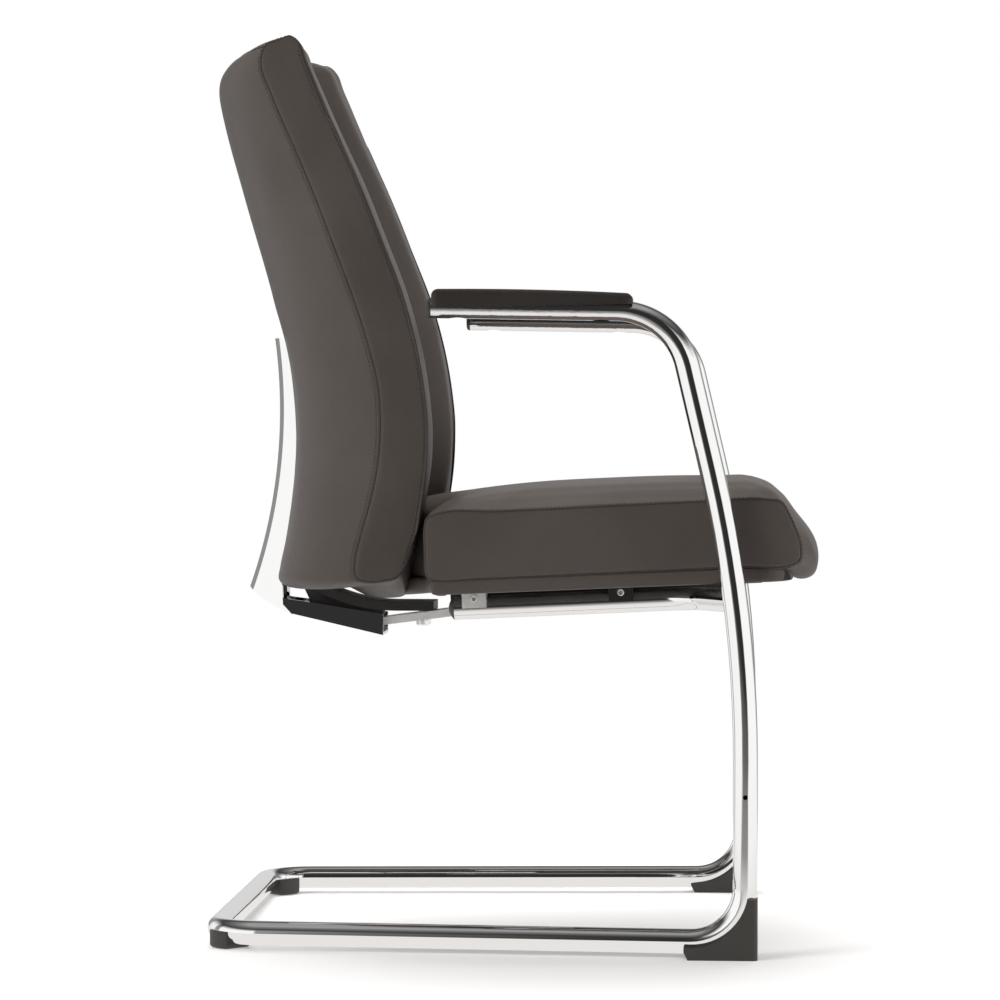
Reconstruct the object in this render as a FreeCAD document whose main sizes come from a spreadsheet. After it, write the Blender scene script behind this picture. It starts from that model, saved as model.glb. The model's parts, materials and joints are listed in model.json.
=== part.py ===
import FreeCAD, Part
import math
import os
import Sketcher
from FreeCAD import Placement, Rotation, Vector

# Cantilever visitor chair in millimetres. +Z is up, the sitter faces -Y and the sitter's right is -X.
# The origin lies on the floor, in the middle of the chair's outline.

doc = FreeCAD.newDocument("VisitorChair")
dim = doc.addObject("Spreadsheet::Sheet", "Dim")

DIMENSIONS = {
    # Bent frame tube
    "tube_dia": 25,
    "tube_wall": 2,
    "frame_half": 276,
    "rear_half": 236,
    "upright_y": -245.5,
    "upright_lean": 13.2,
    "lean_z": 344.8,
    "runner_z": 17,
    "rear_bar_y": 295.5,
    "arm_corner_z": 647.5,
    "arm_end_y": 69,
    "arm_end_z": 651.6,
    "top_bend": 72,
    "lean_bend": 1260,
    "floor_bend": 55,
    "rear_bend": 50,
    # Arm run, pressed flat under its pad
    "press_high": 20.6,
    "press_wide": 29,
    "dimple_rear_y": 42.7,
    "dimple_front_y": -101.3,
    "dimple_radius": 14,
    "dimple_deep": 3,
    "drain_z": 163,
    "drain_dia": 5,
    # Plugs and pads of the arms
    "plug_lip": 4,
    "plug_spigot": 16,
    "plug_gap": 0.3,
    "plug_round": 2.8,
    "plug_dome": 6,
    "plug_dome_radius": 16.8,
    "pad_wide": 38,
    "pad_rear_y": 68.7,
    "pad_front_y": -132.8,
    "pad_rear_top": 670.3,
    "pad_front_top": 665.5,
    "pad_rear_low": 651.3,
    "pad_front_low": 654.9,
    "pad_crown": 3200,
    "pad_edge": 7,
    # Feet
    "foot_wide": 31,
    "foot_rear_y": -188,
    "foot_tip_rise": 8,
    "foot_top_z": 61,
    "foot_cheek": 60,
    "foot_edge": 5,
    "glide_long": 28,
    "glide_wide": 30,
    "glide_top": 18,
    "glide_turn": 45,
    "glide_edge": 4,
    # Seat rails
    "rail_dia": 24,
    "rail_wall": 2,
    "rail_x": 170,
    "rail_end_y": 54,
    "rail_end_z": 345.1,
    "rail_tilt": 2.63,
    "rail_corner": 249,
    "rail_reach": 290,
    "rail_bend": 50,
    "saddle_wide": 31,
    "saddle_long": 25,
    "saddle_rear": 9,
    "saddle_front": 160,
    "saddle_high": 17.6,
    # Seat
    "seat_z": 366.1,
    "seat_tilt": 2.44,
    "board_half": 246,
    "board_front": 243,
    "board_thick": 11,
    "board_side_y": 70,
    "board_neck_half": 172,
    "board_neck_y": 75,
    "board_rear_arc": 255,
    "lip_front": 292,
    "lip_lean": 4,
    "lip_half": 242,
    "tray_deep": 6,
    "tray_half": 148,
    "tray_rear": -36,
    "tray_front": 262,
    "bearer_half": 60,
    "bearer_front": -30,
    "bearer_rear": 58,
    # Seat cushion
    "seat_half": 250,
    "seat_rear_bulge": 4,
    # Back
    "back_half": 190,
    "rear_panel": 22,
    "panel_edge": 8,
    "skin_gap": 0.6,
    "wing_edge": 8,
    "wing_ridge": 18,
    "wing_swell": 1.5,
    "wing_fall": 1,
    "back_board": 10,
    "back_board_inset": 40,
    "back_board_gap": 4,
    # Back bar and its polished cover
    "bar_half": 30,
    "bar_thick": 10,
    "bar_front": 87,
    "bar_top": 345.2,
    "bar_flat": 127,
    "bar_knee_y": 205,
    "bar_knee_z": 363.3,
    "bar_back_y": 226.8,
    "bar_back_z": 404.6,
    "bar_end_y": 214.5,
    "bar_end_z": 500,
    "bar_sweep": 177,
    "bar_bend": 46,
    "cover_half": 40,
    "cover_rear_half": 30,
    "cover_arm_half": 30,
    "cover_wall": 3,
    "cover_bevel": 5,
    "cover_flare_front": 226,
    "cover_flare_rear": 286,
    "cover_front": 141.2,
    "cover_front_low": 309.1,
    "cover_front_top": 331.6,
    "cover_heel_y": 277.1,
    "cover_heel_z": 353.4,
    "cover_heel_sweep": 170,
    "cover_knee_y": 284.6,
    "cover_knee_z": 361,
    "cover_top_y": 256.8,
    "cover_top_z": 626.3,
    "cover_sweep": 557,
    "cover_lap": 11.5,
    "cover_lap_sweep": 529,
    "cover_cheek_y": 250.6,
    "cover_cheek_z": 379,
    "cover_cheek_low_y": 249,
    "cover_cheek_low_z": 362,
    "cover_throat_y": 248,
    "cover_throat_z": 342,
    "cover_step_y": 238.2,
    "cover_step_z": 331.6,
    "cover_inner_y": 228,
    "cover_inner_z": 345.5,
    "cover_mouth": 10,
    "cover_cap": 6,
    "tongue_half": 20,
    "tongue_thick": 8.5,
    "tongue_front": -34,
    "tongue_rear": 158,
    "tongue_fall": 7.5,
    "tongue_gap": 0.15,
    # Bolts
    "bolt_dia": 8,
    "bolt_head": 14,
    "bolt_edge": 1,
    "bolt_gap": 0.4,
    "seat_bolt_x": 11,
    "seat_bolt_y": 100,
    "seat_bolt_head": 5,
    "seat_bolt_long": 19,
    "back_bolt_z": 452,
    "back_bolt_x": 16,
    "back_bolt_head": 4,
    "back_bolt_long": 23,
}

for row, (alias, number) in enumerate(DIMENSIONS.items(), start=1):
    dim.set(f"A{row}", alias.replace("_", " "))
    dim.set(f"B{row}", str(number))
    dim.setAlias(f"B{row}", alias)
doc.recompute()

X_AXIS = Vector(1, 0, 0)
Z_AXIS = Vector(0, 0, 1)
nodes = []


def value_of(expression):
    """The number that an expression on the sheet's cells gives."""
    return float(dim.evalExpression(str(expression)))


def size(alias):
    """One driving dimension."""
    return float(dim.get(alias))


def node(piece, label):
    """Names a finished sub-part and lists it for export."""
    piece.Label = label
    nodes.append(piece)
    return piece


def new_body(name):
    """An empty body."""
    return doc.addObject("PartDesign::Body", name)


def new_sketch(body, role, offset="0"):
    """A sketch on one of the body's own origin planes, moved along the plane's normal."""
    plane = next(item for item in body.Origin.OriginFeatures if item.Role == role)
    sketch = body.newObject("Sketcher::SketchObject", f"{body.Name}Sketch")
    sketch.AttachmentSupport = (plane, [""])
    sketch.MapMode = "FlatFace"
    sketch.setExpression("AttachmentOffset.Base.z", offset)
    return sketch


def pin(sketch, geometry, point, across, along):
    """Ties a point of the sketch to two expressions, measured from the sketch's origin."""
    for kind, axis, expression in (("DistanceX", -2, across), ("DistanceY", -1, along)):
        place = value_of(expression)
        if place == 0:
            sketch.addConstraint(Sketcher.Constraint("PointOnObject", geometry, point, axis))
        else:
            number = sketch.addConstraint(Sketcher.Constraint(kind, -1, 1, geometry, point, place))
            sketch.setExpression(f"Constraints[{number}]", expression)


def outline(sketch, corners):
    """A closed counter-clockwise outline. A third value in a corner is the radius of the edge that
    leaves it: positive bulges outwards, negative inwards."""
    places = [Vector(value_of(corner[0]), value_of(corner[1]), 0) for corner in corners]
    ends = []
    for number, corner in enumerate(corners):
        start = places[number]
        stop = places[(number + 1) % len(places)]
        if len(corner) == 2:
            geometry = sketch.addGeometry(Part.LineSegment(start, stop))
            ends.append((geometry, 1, 2))
            continue
        radius = value_of(corner[2])
        chord = stop - start
        left = Vector(-chord.y, chord.x, 0).normalize()
        rise = math.sqrt(radius ** 2 - (chord.Length / 2) ** 2)
        center = (start + stop) / 2 + left * math.copysign(rise, radius)
        first, last = (start, stop) if radius > 0 else (stop, start)
        angles = [math.atan2(place.y - center.y, place.x - center.x) for place in (first, last)]
        circle = Part.Circle(center, Z_AXIS, abs(radius))
        geometry = sketch.addGeometry(Part.ArcOfCircle(circle, *angles))
        limit = sketch.addConstraint(Sketcher.Constraint("Radius", geometry, abs(radius)))
        sketch.setExpression(f"Constraints[{limit}]", f"abs({corner[2]})")
        ends.append((geometry, 1, 2) if radius > 0 else (geometry, 2, 1))
    for number, (geometry, first, last) in enumerate(ends):
        following, next_first, next_last = ends[(number + 1) % len(ends)]
        sketch.addConstraint(Sketcher.Constraint("Coincident", geometry, last, following, next_first))
        pin(sketch, geometry, first, corners[number][0], corners[number][1])


def ring(sketch, *radii):
    """Circles about the sketch's origin."""
    for radius in radii:
        circle = Part.Circle(Vector(), Z_AXIS, value_of(radius))
        geometry = sketch.addGeometry(circle)
        sketch.addConstraint(Sketcher.Constraint("Coincident", geometry, 3, -1, 1))
        limit = sketch.addConstraint(Sketcher.Constraint("Radius", geometry, value_of(radius)))
        sketch.setExpression(f"Constraints[{limit}]", radius)


def pad(body, sketch, length, side="Symmetric", reverse=False):
    """Material from a sketch."""
    feature = body.newObject("PartDesign::Pad", f"{body.Name}Pad")
    feature.Profile = sketch
    feature.SideType = side
    feature.Reversed = reverse
    feature.setExpression("Length", length)
    return feature


def pocket(body, sketch, length):
    """A cut from a sketch, the same depth on both of its sides."""
    feature = body.newObject("PartDesign::Pocket", f"{body.Name}Pocket")
    feature.Profile = sketch
    feature.SideType = "Symmetric"
    feature.setExpression("Length", length)
    return feature


def soften(body, base, radius, wanted):
    """Rounds the edges of a feature whose two ends both pass the test."""
    doc.recompute()
    chosen = []
    for number, edge in enumerate(base.Shape.Edges, start=1):
        if wanted(edge):
            chosen.append(f"Edge{number}")
    feature = body.newObject("PartDesign::Fillet", f"{body.Name}Fillet")
    feature.Base = (base, chosen)
    feature.setExpression("Radius", radius)
    return feature


def cut(base, tool, label):
    """A piece with the seat of another piece cut into it."""
    piece = doc.addObject("Part::Cut", label)
    piece.Base = base
    piece.Tool = tool
    return piece


def mirrored(piece, label):
    """The left twin of a right-hand piece."""
    twin = doc.addObject("Part::Mirroring", label)
    twin.Source = piece
    twin.Normal = X_AXIS
    return node(twin, label)


def place(piece, across="0", along="0", high="0", axis=X_AXIS, angle="0"):
    """Binds a piece's placement to expressions."""
    piece.Placement = Placement(Vector(), Rotation(axis, 1))
    for name, expression in (("x", across), ("y", along), ("z", high)):
        piece.setExpression(f"Placement.Base.{name}", expression)
    piece.setExpression("Placement.Rotation.Angle", angle)


def bent_path(points, radii):
    """Straight runs joined by tangent arcs, as a list of edges."""
    edges = []
    last = points[0]
    for before, corner, after, radius in zip(points, points[1:], points[2:], radii):
        back = (before - corner).normalize()
        ahead = (after - corner).normalize()
        half_turn = (math.pi - back.getAngle(ahead)) / 2
        reach = radius * math.tan(half_turn)
        start = corner + back * reach
        stop = corner + ahead * reach
        toward = (back + ahead).normalize()
        middle = corner + toward * (radius / math.cos(half_turn) - radius)
        edges.append(Part.LineSegment(last, start).toShape())
        edges.append(Part.Arc(start, middle, stop).toShape())
        last = stop
    edges.append(Part.LineSegment(last, points[-1]).toShape())
    return edges


def oval(center, ahead, half_wide, half_high):
    """A closed oval across a path in a plane of constant X. A circle has two equal halves."""
    lift = math.degrees(math.atan2(ahead.z, ahead.y))
    curve = Part.Circle(Vector(), Z_AXIS, half_wide)
    if half_wide != half_high:
        curve = Part.Ellipse(Vector(), half_wide, half_high)
    edge = curve.toShape()
    edge.Placement = Placement(center, Rotation(X_AXIS, 90 + lift))
    return Part.Wire([edge])


# Frame

TUBE_RADIUS = size("tube_dia") / 2
WALL = size("tube_wall")
SIDE_X = -size("frame_half")
arm_end = Vector(SIDE_X, size("arm_end_y"), size("arm_end_z"))
arm_corner_y = value_of("Dim.upright_y + tan(Dim.upright_lean) * (Dim.arm_corner_z - Dim.lean_z)")
arm_corner = Vector(SIDE_X, arm_corner_y, size("arm_corner_z"))
lean_corner = Vector(SIDE_X, size("upright_y"), size("lean_z"))
floor_corner = Vector(SIDE_X, size("upright_y"), size("runner_z"))
rear_corner = Vector(-size("rear_half"), size("rear_bar_y"), size("runner_z"))
bar_middle = Vector(0, size("rear_bar_y"), size("runner_z"))
frame_path = bent_path(
    [bar_middle, rear_corner, floor_corner, lean_corner, arm_corner, arm_end],
    [size("rear_bend"), size("floor_bend"), size("lean_bend"), size("top_bend")],
)
round_path = Part.Wire(frame_path[:7])
top_bend, arm_run = frame_path[7:]
arm_ahead = (arm_end - arm_corner).normalize()
arm_up = Vector(0, -arm_ahead.z, arm_ahead.y)


def arm_axis(along):
    """The arm tube's axis at a place along Y."""
    return arm_corner + arm_ahead * ((along - arm_corner.y) / arm_ahead.y)


def frame_solid(inset):
    """The tube's outer form, or its bore when inset by the wall."""
    radius = TUBE_RADIUS - inset
    half_wide = size("press_wide") / 2 - inset
    half_high = size("press_high") / 2 - inset
    start = Part.Wire([Part.Circle(bar_middle, X_AXIS, radius).toShape()])
    lower = round_path.makePipeShell([start], True, False)
    bend_start, bend_stop = [vertex.Point for vertex in top_bend.Vertexes]
    upright_ahead = (arm_corner - lean_corner).normalize()
    sections = [
        oval(bend_start, upright_ahead, radius, radius),
        oval(bend_stop, arm_ahead, half_wide, half_high),
    ]
    bend = Part.Wire([top_bend]).makePipeShell(sections, True, False)
    arm = Part.Face(sections[1]).extrude(arm_end - bend_stop)
    dents = []
    for along in (size("dimple_rear_y"), size("dimple_front_y")):
        low = arm_axis(along) - arm_up * (size("press_high") / 2)
        center = low - arm_up * (size("dimple_radius") - size("dimple_deep"))
        dents.append(Part.makeSphere(size("dimple_radius") + inset, center))
    return lower.fuse([bend, arm.cut(dents)]).removeSplitter()


drain_middle = Vector(SIDE_X, size("upright_y"), size("drain_z"))
drain = Part.makeCylinder(size("drain_dia") / 2, TUBE_RADIUS, drain_middle, -X_AXIS)
frame_right = doc.addObject("Part::Feature", "FrameRight")
frame_right.Shape = frame_solid(0).cut([frame_solid(WALL), drain])
node(frame_right, "frame_right")
frame_left = mirrored(frame_right, "frame_left")

# Solid form of the tube, which the pads and feet are seated on
frame_form = doc.addObject("Part::Feature", "FrameForm")
frame_form.Shape = frame_solid(0)


# Arm end plugs

def arm_plug():
    """A domed oval lip with a spigot in the pressed tube."""
    half_wide = size("press_wide") / 2
    half_high = size("press_high") / 2
    face = Part.Face(oval(arm_end, arm_ahead, half_wide, half_high))
    lip = face.extrude(arm_ahead * size("plug_lip"))
    lip_middle = arm_end.y + size("plug_lip") / 2
    rim = [edge for edge in lip.Edges if edge.isClosed() and edge.CenterOfMass.y > lip_middle]
    lip = lip.makeFillet(size("plug_round"), rim)
    inset = WALL + size("plug_gap")
    spigot = Part.Face(oval(arm_end, arm_ahead, half_wide - inset, half_high - inset))
    return lip.fuse(spigot.extrude(arm_ahead * -size("plug_spigot")))


arm_plug_right = doc.addObject("Part::Feature", "ArmPlugRight")
arm_plug_right.Shape = arm_plug()
node(arm_plug_right, "arm_end_plug_right")
mirrored(arm_plug_right, "arm_end_plug_left")

# Arm pads

pad_body = new_body("ArmPad")
pad_sketch = new_sketch(pad_body, "YZ_Plane", "-Dim.frame_half")
outline(pad_sketch, [
    ("Dim.pad_front_y", "Dim.pad_front_low"),
    ("Dim.pad_rear_y", "Dim.pad_rear_low"),
    ("Dim.pad_rear_y", "Dim.pad_rear_top", "Dim.pad_crown"),
    ("Dim.pad_front_y", "Dim.pad_front_top"),
])
pad_block = pad(pad_body, pad_sketch, "Dim.pad_wide")
PAD_EDGE = size("pad_edge")
PAD_SHOULDER = size("pad_front_top") - PAD_EDGE / 2
pad_corners = soften(pad_body, pad_block, "Dim.pad_edge", lambda edge: edge.BoundBox.ZLength > PAD_EDGE)
soften(pad_body, pad_corners, "Dim.pad_edge", lambda edge: edge.BoundBox.ZMin > PAD_SHOULDER)
arm_pad_right = node(cut(pad_body, frame_form, "ArmPadRight"), "arm_pad_right")
mirrored(arm_pad_right, "arm_pad_left")

# Front feet: wedges that fill the corner of the floor bend

foot_body = new_body("FrontFoot")
foot_sketch = new_sketch(foot_body, "YZ_Plane", "-Dim.frame_half")
FOOT_FRONT = "Dim.upright_y - Dim.tube_dia / 2"
BEND_Y = "(Dim.upright_y + Dim.floor_bend)"
BEND_Z = "(Dim.runner_z + Dim.floor_bend)"
FOOT_TIP = "(Dim.foot_rear_y + Dim.foot_tip_rise / 2)"
outline(foot_sketch, [
    (FOOT_FRONT, "0"),
    ("Dim.foot_rear_y", "0"),
    (FOOT_TIP, "Dim.foot_tip_rise"),
    (FOOT_TIP, f"{BEND_Z} - sqrt(Dim.foot_cheek ^ 2 - ({FOOT_TIP} - {BEND_Y}) ^ 2)", "-Dim.foot_cheek"),
    (f"{BEND_Y} - sqrt(Dim.foot_cheek ^ 2 - ({BEND_Z} - Dim.foot_top_z) ^ 2)", "Dim.foot_top_z"),
    (FOOT_FRONT, "Dim.foot_top_z"),
])
foot_block = pad(foot_body, foot_sketch, "Dim.foot_wide")
FOOT_NOSE = value_of(FOOT_FRONT) + size("foot_edge")
FOOT_MIDDLE = size("foot_top_z") / 2


def is_foot_nose(edge):
    """The two upright edges at the foot's front."""
    return edge.BoundBox.YMax < FOOT_NOSE and edge.BoundBox.ZLength > FOOT_MIDDLE


soften(foot_body, foot_block, "Dim.foot_edge", is_foot_nose)
front_foot_right = node(cut(foot_body, frame_form, "FrontFootRight"), "front_foot_right")
mirrored(front_foot_right, "front_foot_left")

# Rear glides: saddles on the corner bends

glide_body = new_body("RearGlide")
glide_sketch = new_sketch(glide_body, "XY_Plane")
outline(glide_sketch, [
    ("-Dim.glide_long / 2", "-Dim.glide_wide / 2", "Dim.glide_wide"),
    ("Dim.glide_long / 2", "-Dim.glide_wide / 2"),
    ("Dim.glide_long / 2", "Dim.glide_wide / 2", "Dim.glide_wide"),
    ("-Dim.glide_long / 2", "Dim.glide_wide / 2"),
])
glide_block = pad(glide_body, glide_sketch, "Dim.glide_top", "One side")
GLIDE_MIDDLE = size("glide_top") / 2
soften(glide_body, glide_block, "Dim.glide_edge", lambda edge: edge.BoundBox.ZMax < GLIDE_MIDDLE)
place(glide_body,
      "-Dim.rear_half + Dim.rear_bend * (1 - cos(Dim.glide_turn))",
      "Dim.rear_bar_y - Dim.rear_bend * (1 - sin(Dim.glide_turn))",
      "0", Z_AXIS, "90 - Dim.glide_turn")
rear_glide_right = node(cut(glide_body, frame_form, "RearGlideRight"), "rear_glide_right")
mirrored(rear_glide_right, "rear_glide_left")

# Seat rails: smaller tubes, bent out to the uprights

rail_body = new_body("SeatRail")
rail_route = new_sketch(rail_body, "XY_Plane")
RAIL_OUT = "-(Dim.frame_half - Dim.rail_x)"
rail_points = [
    Vector(),
    Vector(0, -size("rail_corner"), 0),
    Vector(value_of(RAIL_OUT), -size("rail_reach"), 0),
]
rail_edges = bent_path(rail_points, [size("rail_bend")])
run_start, run_stop = [vertex.Point for vertex in rail_edges[0].Vertexes]
leg_start, leg_stop = [vertex.Point for vertex in rail_edges[2].Vertexes]
bend_center = run_stop - X_AXIS * size("rail_bend")
run_line = rail_route.addGeometry(Part.LineSegment(run_start, run_stop))
bend_angle = math.atan2(leg_start.y - bend_center.y, leg_start.x - bend_center.x)
bend_circle = Part.Circle(bend_center, Z_AXIS, size("rail_bend"))
bend_arc = rail_route.addGeometry(Part.ArcOfCircle(bend_circle, bend_angle, 0))
leg_line = rail_route.addGeometry(Part.LineSegment(leg_start, leg_stop))
rail_route.addConstraint(Sketcher.Constraint("Coincident", run_line, 1, -1, 1))
rail_route.addConstraint(Sketcher.Constraint("Vertical", run_line))
rail_route.addConstraint(Sketcher.Constraint("Tangent", run_line, 2, bend_arc, 2))
rail_route.addConstraint(Sketcher.Constraint("Tangent", bend_arc, 1, leg_line, 1))
rail_limit = rail_route.addConstraint(Sketcher.Constraint("Radius", bend_arc, size("rail_bend")))
rail_route.setExpression(f"Constraints[{rail_limit}]", "Dim.rail_bend")
pin(rail_route, leg_line, 2, RAIL_OUT, "-Dim.rail_reach")
rail_section = new_sketch(rail_body, "XZ_Plane")
ring(rail_section, "Dim.rail_dia / 2", "Dim.rail_dia / 2 - Dim.rail_wall")
rail_pipe = rail_body.newObject("PartDesign::AdditivePipe", "RailPipe")
rail_pipe.Profile = rail_section
rail_pipe.Spine = rail_route
place(rail_body, "-Dim.rail_x", "Dim.rail_end_y", "Dim.rail_end_z", X_AXIS, "-Dim.rail_tilt")
seat_rail_right = node(cut(rail_body, frame_form, "SeatRailRight"), "seat_rail_right")
mirrored(seat_rail_right, "seat_rail_left")

# Rail end plugs

rail_plug_right = new_body("RailPlugRight")
rail_plug_sketch = new_sketch(rail_plug_right, "YZ_Plane")
outline(rail_plug_sketch, [
    ("-Dim.plug_spigot", "0"),
    ("Dim.plug_dome", "0", "Dim.plug_dome_radius"),
    ("Dim.plug_gap", "Dim.rail_dia / 2"),
    ("Dim.plug_gap", "Dim.rail_dia / 2 - Dim.rail_wall - Dim.plug_gap"),
    ("-Dim.plug_spigot", "Dim.rail_dia / 2 - Dim.rail_wall - Dim.plug_gap"),
])
rail_plug_turn = rail_plug_right.newObject("PartDesign::Revolution", "RailPlugTurn")
rail_plug_turn.Profile = rail_plug_sketch
rail_plug_turn.ReferenceAxis = (rail_plug_sketch, ["H_Axis"])
rail_plug_turn.Angle = 360
place(rail_plug_right, "-Dim.rail_x", "Dim.rail_end_y", "Dim.rail_end_z", X_AXIS, "-Dim.rail_tilt")
node(rail_plug_right, "rail_end_plug_right")
mirrored(rail_plug_right, "rail_end_plug_left")

# Rail saddles, which carry the seat board

rail_form = doc.addObject("Part::Cylinder", "RailForm")
rail_form.setExpression("Radius", "Dim.rail_dia / 2")
rail_form.setExpression("Height", "Dim.rail_corner")
rail_form.Placement = Placement(Vector(), Rotation(X_AXIS, 90))
rail_form.setExpression("Placement.Base.x", "-Dim.rail_x")
rail_form.setExpression("Placement.Base.y", "Dim.rail_end_y")
rail_form.setExpression("Placement.Base.z", "Dim.rail_end_z")
rail_form.setExpression("Placement.Rotation.Angle", "90 - Dim.rail_tilt")
for where in ("rear", "front"):
    saddle_body = new_body(f"Saddle{where}")
    saddle_sketch = new_sketch(saddle_body, "XZ_Plane", f"Dim.saddle_{where}")
    outline(saddle_sketch, [
        ("-Dim.saddle_wide / 2", "0"),
        ("Dim.saddle_wide / 2", "0"),
        ("Dim.saddle_wide / 2", "Dim.saddle_high"),
        ("-Dim.saddle_wide / 2", "Dim.saddle_high"),
    ])
    pad(saddle_body, saddle_sketch, "Dim.saddle_long", "One side")
    place(saddle_body, "-Dim.rail_x", "Dim.rail_end_y", "Dim.rail_end_z", X_AXIS, "-Dim.rail_tilt")
    saddle = node(cut(saddle_body, rail_form, f"Saddle{where}Right"), f"rail_saddle_{where}_right")
    mirrored(saddle, f"rail_saddle_{where}_left")

# Seat board and under-cover

board = new_body("SeatBoard")
board_sketch = new_sketch(board, "XY_Plane")
outline(board_sketch, [
    ("-Dim.board_half", "-Dim.board_front"),
    ("Dim.board_half", "-Dim.board_front"),
    ("Dim.board_half", "Dim.board_side_y"),
    ("Dim.board_neck_half", "Dim.board_neck_y", "Dim.board_rear_arc"),
    ("-Dim.board_neck_half", "Dim.board_neck_y"),
    ("-Dim.board_half", "Dim.board_side_y"),
])
pad(board, board_sketch, "Dim.board_thick", "One side")
place(board, high="Dim.seat_z", angle="-Dim.seat_tilt")
node(board, "seat_board")

under_cover = new_body("UnderCover")
lip_sketch = new_sketch(under_cover, "YZ_Plane")
outline(lip_sketch, [
    ("-Dim.lip_front", "0"),
    ("-Dim.board_front", "0"),
    ("-Dim.board_front", "Dim.board_thick"),
    ("-Dim.lip_front + Dim.lip_lean", "Dim.board_thick"),
])
pad(under_cover, lip_sketch, "2 * Dim.lip_half")
tray_sketch = new_sketch(under_cover, "YZ_Plane")
outline(tray_sketch, [
    ("-Dim.tray_front", "-Dim.tray_deep"),
    ("Dim.tray_rear", "-Dim.tray_deep"),
    ("Dim.tray_rear", "0"),
    ("-Dim.tray_front - Dim.tray_deep", "0"),
])
pad(under_cover, tray_sketch, "2 * Dim.tray_half")
place(under_cover, high="Dim.seat_z", angle="-Dim.seat_tilt")
node(under_cover, "seat_under_cover")

# Seat cushion: sections from one side panel, over the crowned middle, to the other panel

# Behind the seat's origin and above the board's underside, at the side panel and in the middle
SEAT_PLACES = {
    "rear_low": ((79, 11), (140, 11)),
    "rear_high": ((76, 79), (127, 85.5)),
    "top": ((-104, 80.5), (-64, 107.5)),
    "top_front": ((-284, 79.5), (-257, 100.5)),
    "slope": ((-296, 60), (-290.5, 72)),
    "nose_high": ((-303.5, 35), (-318, 22)),
    "nose": ((-303.5, 23), (-319.5, 6)),
    "nose_low": ((-297, 13), (-309, -6)),
    "step_low": ((-293, 8), (-293, -4)),
    "step_high": ((-293, 11), (-293, 11)),
}
SEAT_NECK = size("board_neck_half") / size("seat_half")
CROWN_POWER = 5
NECK_POWER = 2.4


def seat_section(share):
    """One closed section of the cushion, at a share of its half width."""
    soft = math.sqrt(1 - abs(share) ** CROWN_POWER)
    neck = 1 - min(1, abs(share) / SEAT_NECK) ** NECK_POWER
    spots = {}
    for name, (side, middle) in SEAT_PLACES.items():
        reach = neck if name.startswith("rear") else soft
        along = side[0] + (middle[0] - side[0]) * reach
        high = side[1] + (middle[1] - side[1]) * soft
        spots[name] = Vector(share * size("seat_half"), along, high)
    spots["rear"] = (spots["rear_low"] + spots["rear_high"]) / 2
    spots["rear"].y += size("seat_rear_bulge") * (1 + neck)
    arcs = [
        ("rear_low", "rear", "rear_high"),
        ("rear_high", "top", "top_front"),
        ("top_front", "slope", "nose_high"),
        ("nose_high", "nose", "nose_low"),
    ]
    lines = [("nose_low", "step_low"), ("step_low", "step_high"), ("step_high", "rear_low")]
    edges = [Part.Arc(*[spots[name] for name in names]).toShape() for names in arcs]
    edges += [Part.LineSegment(*[spots[name] for name in names]).toShape() for names in lines]
    return Part.Wire(edges)


SEAT_SHARES = (-1, -0.96, -0.82, -0.6, -0.3, 0, 0.3, 0.6, 0.82, 0.96, 1)
seat_cushion = doc.addObject("Part::Feature", "SeatCushion")
seat_cushion.Shape = Part.makeLoft([seat_section(share) for share in SEAT_SHARES], True, False)
place(seat_cushion, high="Dim.seat_z", angle="-Dim.seat_tilt")
node(seat_cushion, "seat_cushion")

# Back: level sections that follow the back's sweep, each with its rear, its two seams and its hollow front

BACK_LEVELS = [
    (366, 248.5, 160, 103, 172, 10),
    (374, 252.3, 156, 99, 171, 3),
    (404, 246, 149, 94, 169, 1),
    (455, 238.8, 137, 85, 165, 0),
    (518, 234.8, 131, 82, 161, 0),
    (598, 241.8, 142, 93, 163, 0),
    (663, 257.5, 160, 108.5, 174, 1),
    (776, 290.5, 206, 153, 214, 3),
    (856, 313, 239, 186, 247, 5),
    (896, 318, 252, 204, 262, 7),
    (922, 299, 254, 216, 264, 11),
    (934, 273, 250, 226, 257, 20),
]


def back_section(level, front, rear):
    """A closed level section between a front and a rear line, each a list of places from left to right."""
    edges = []
    for line in (front, rear):
        for first, middle, last in zip(line[0::2], line[1::2], line[2::2]):
            ends = [Vector(*place_xy, level) for place_xy in (first, middle, last)]
            edges.append(Part.Arc(*ends).toShape())
    right = Part.LineSegment(Vector(*front[-1], level), Vector(*rear[-1], level)).toShape()
    left = Part.LineSegment(Vector(*rear[0], level), Vector(*front[0], level)).toShape()
    return Part.Wire(Part.__sortEdges__(edges + [right, left]))


def arc_at(half, end, middle, across):
    """The Y of a circle through (-half, end), (0, middle) and (half, end) at a place across."""
    rise = middle - end
    radius = (half ** 2 + rise ** 2) / (2 * rise)
    return middle - radius + math.sqrt(radius ** 2 - across ** 2)


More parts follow.
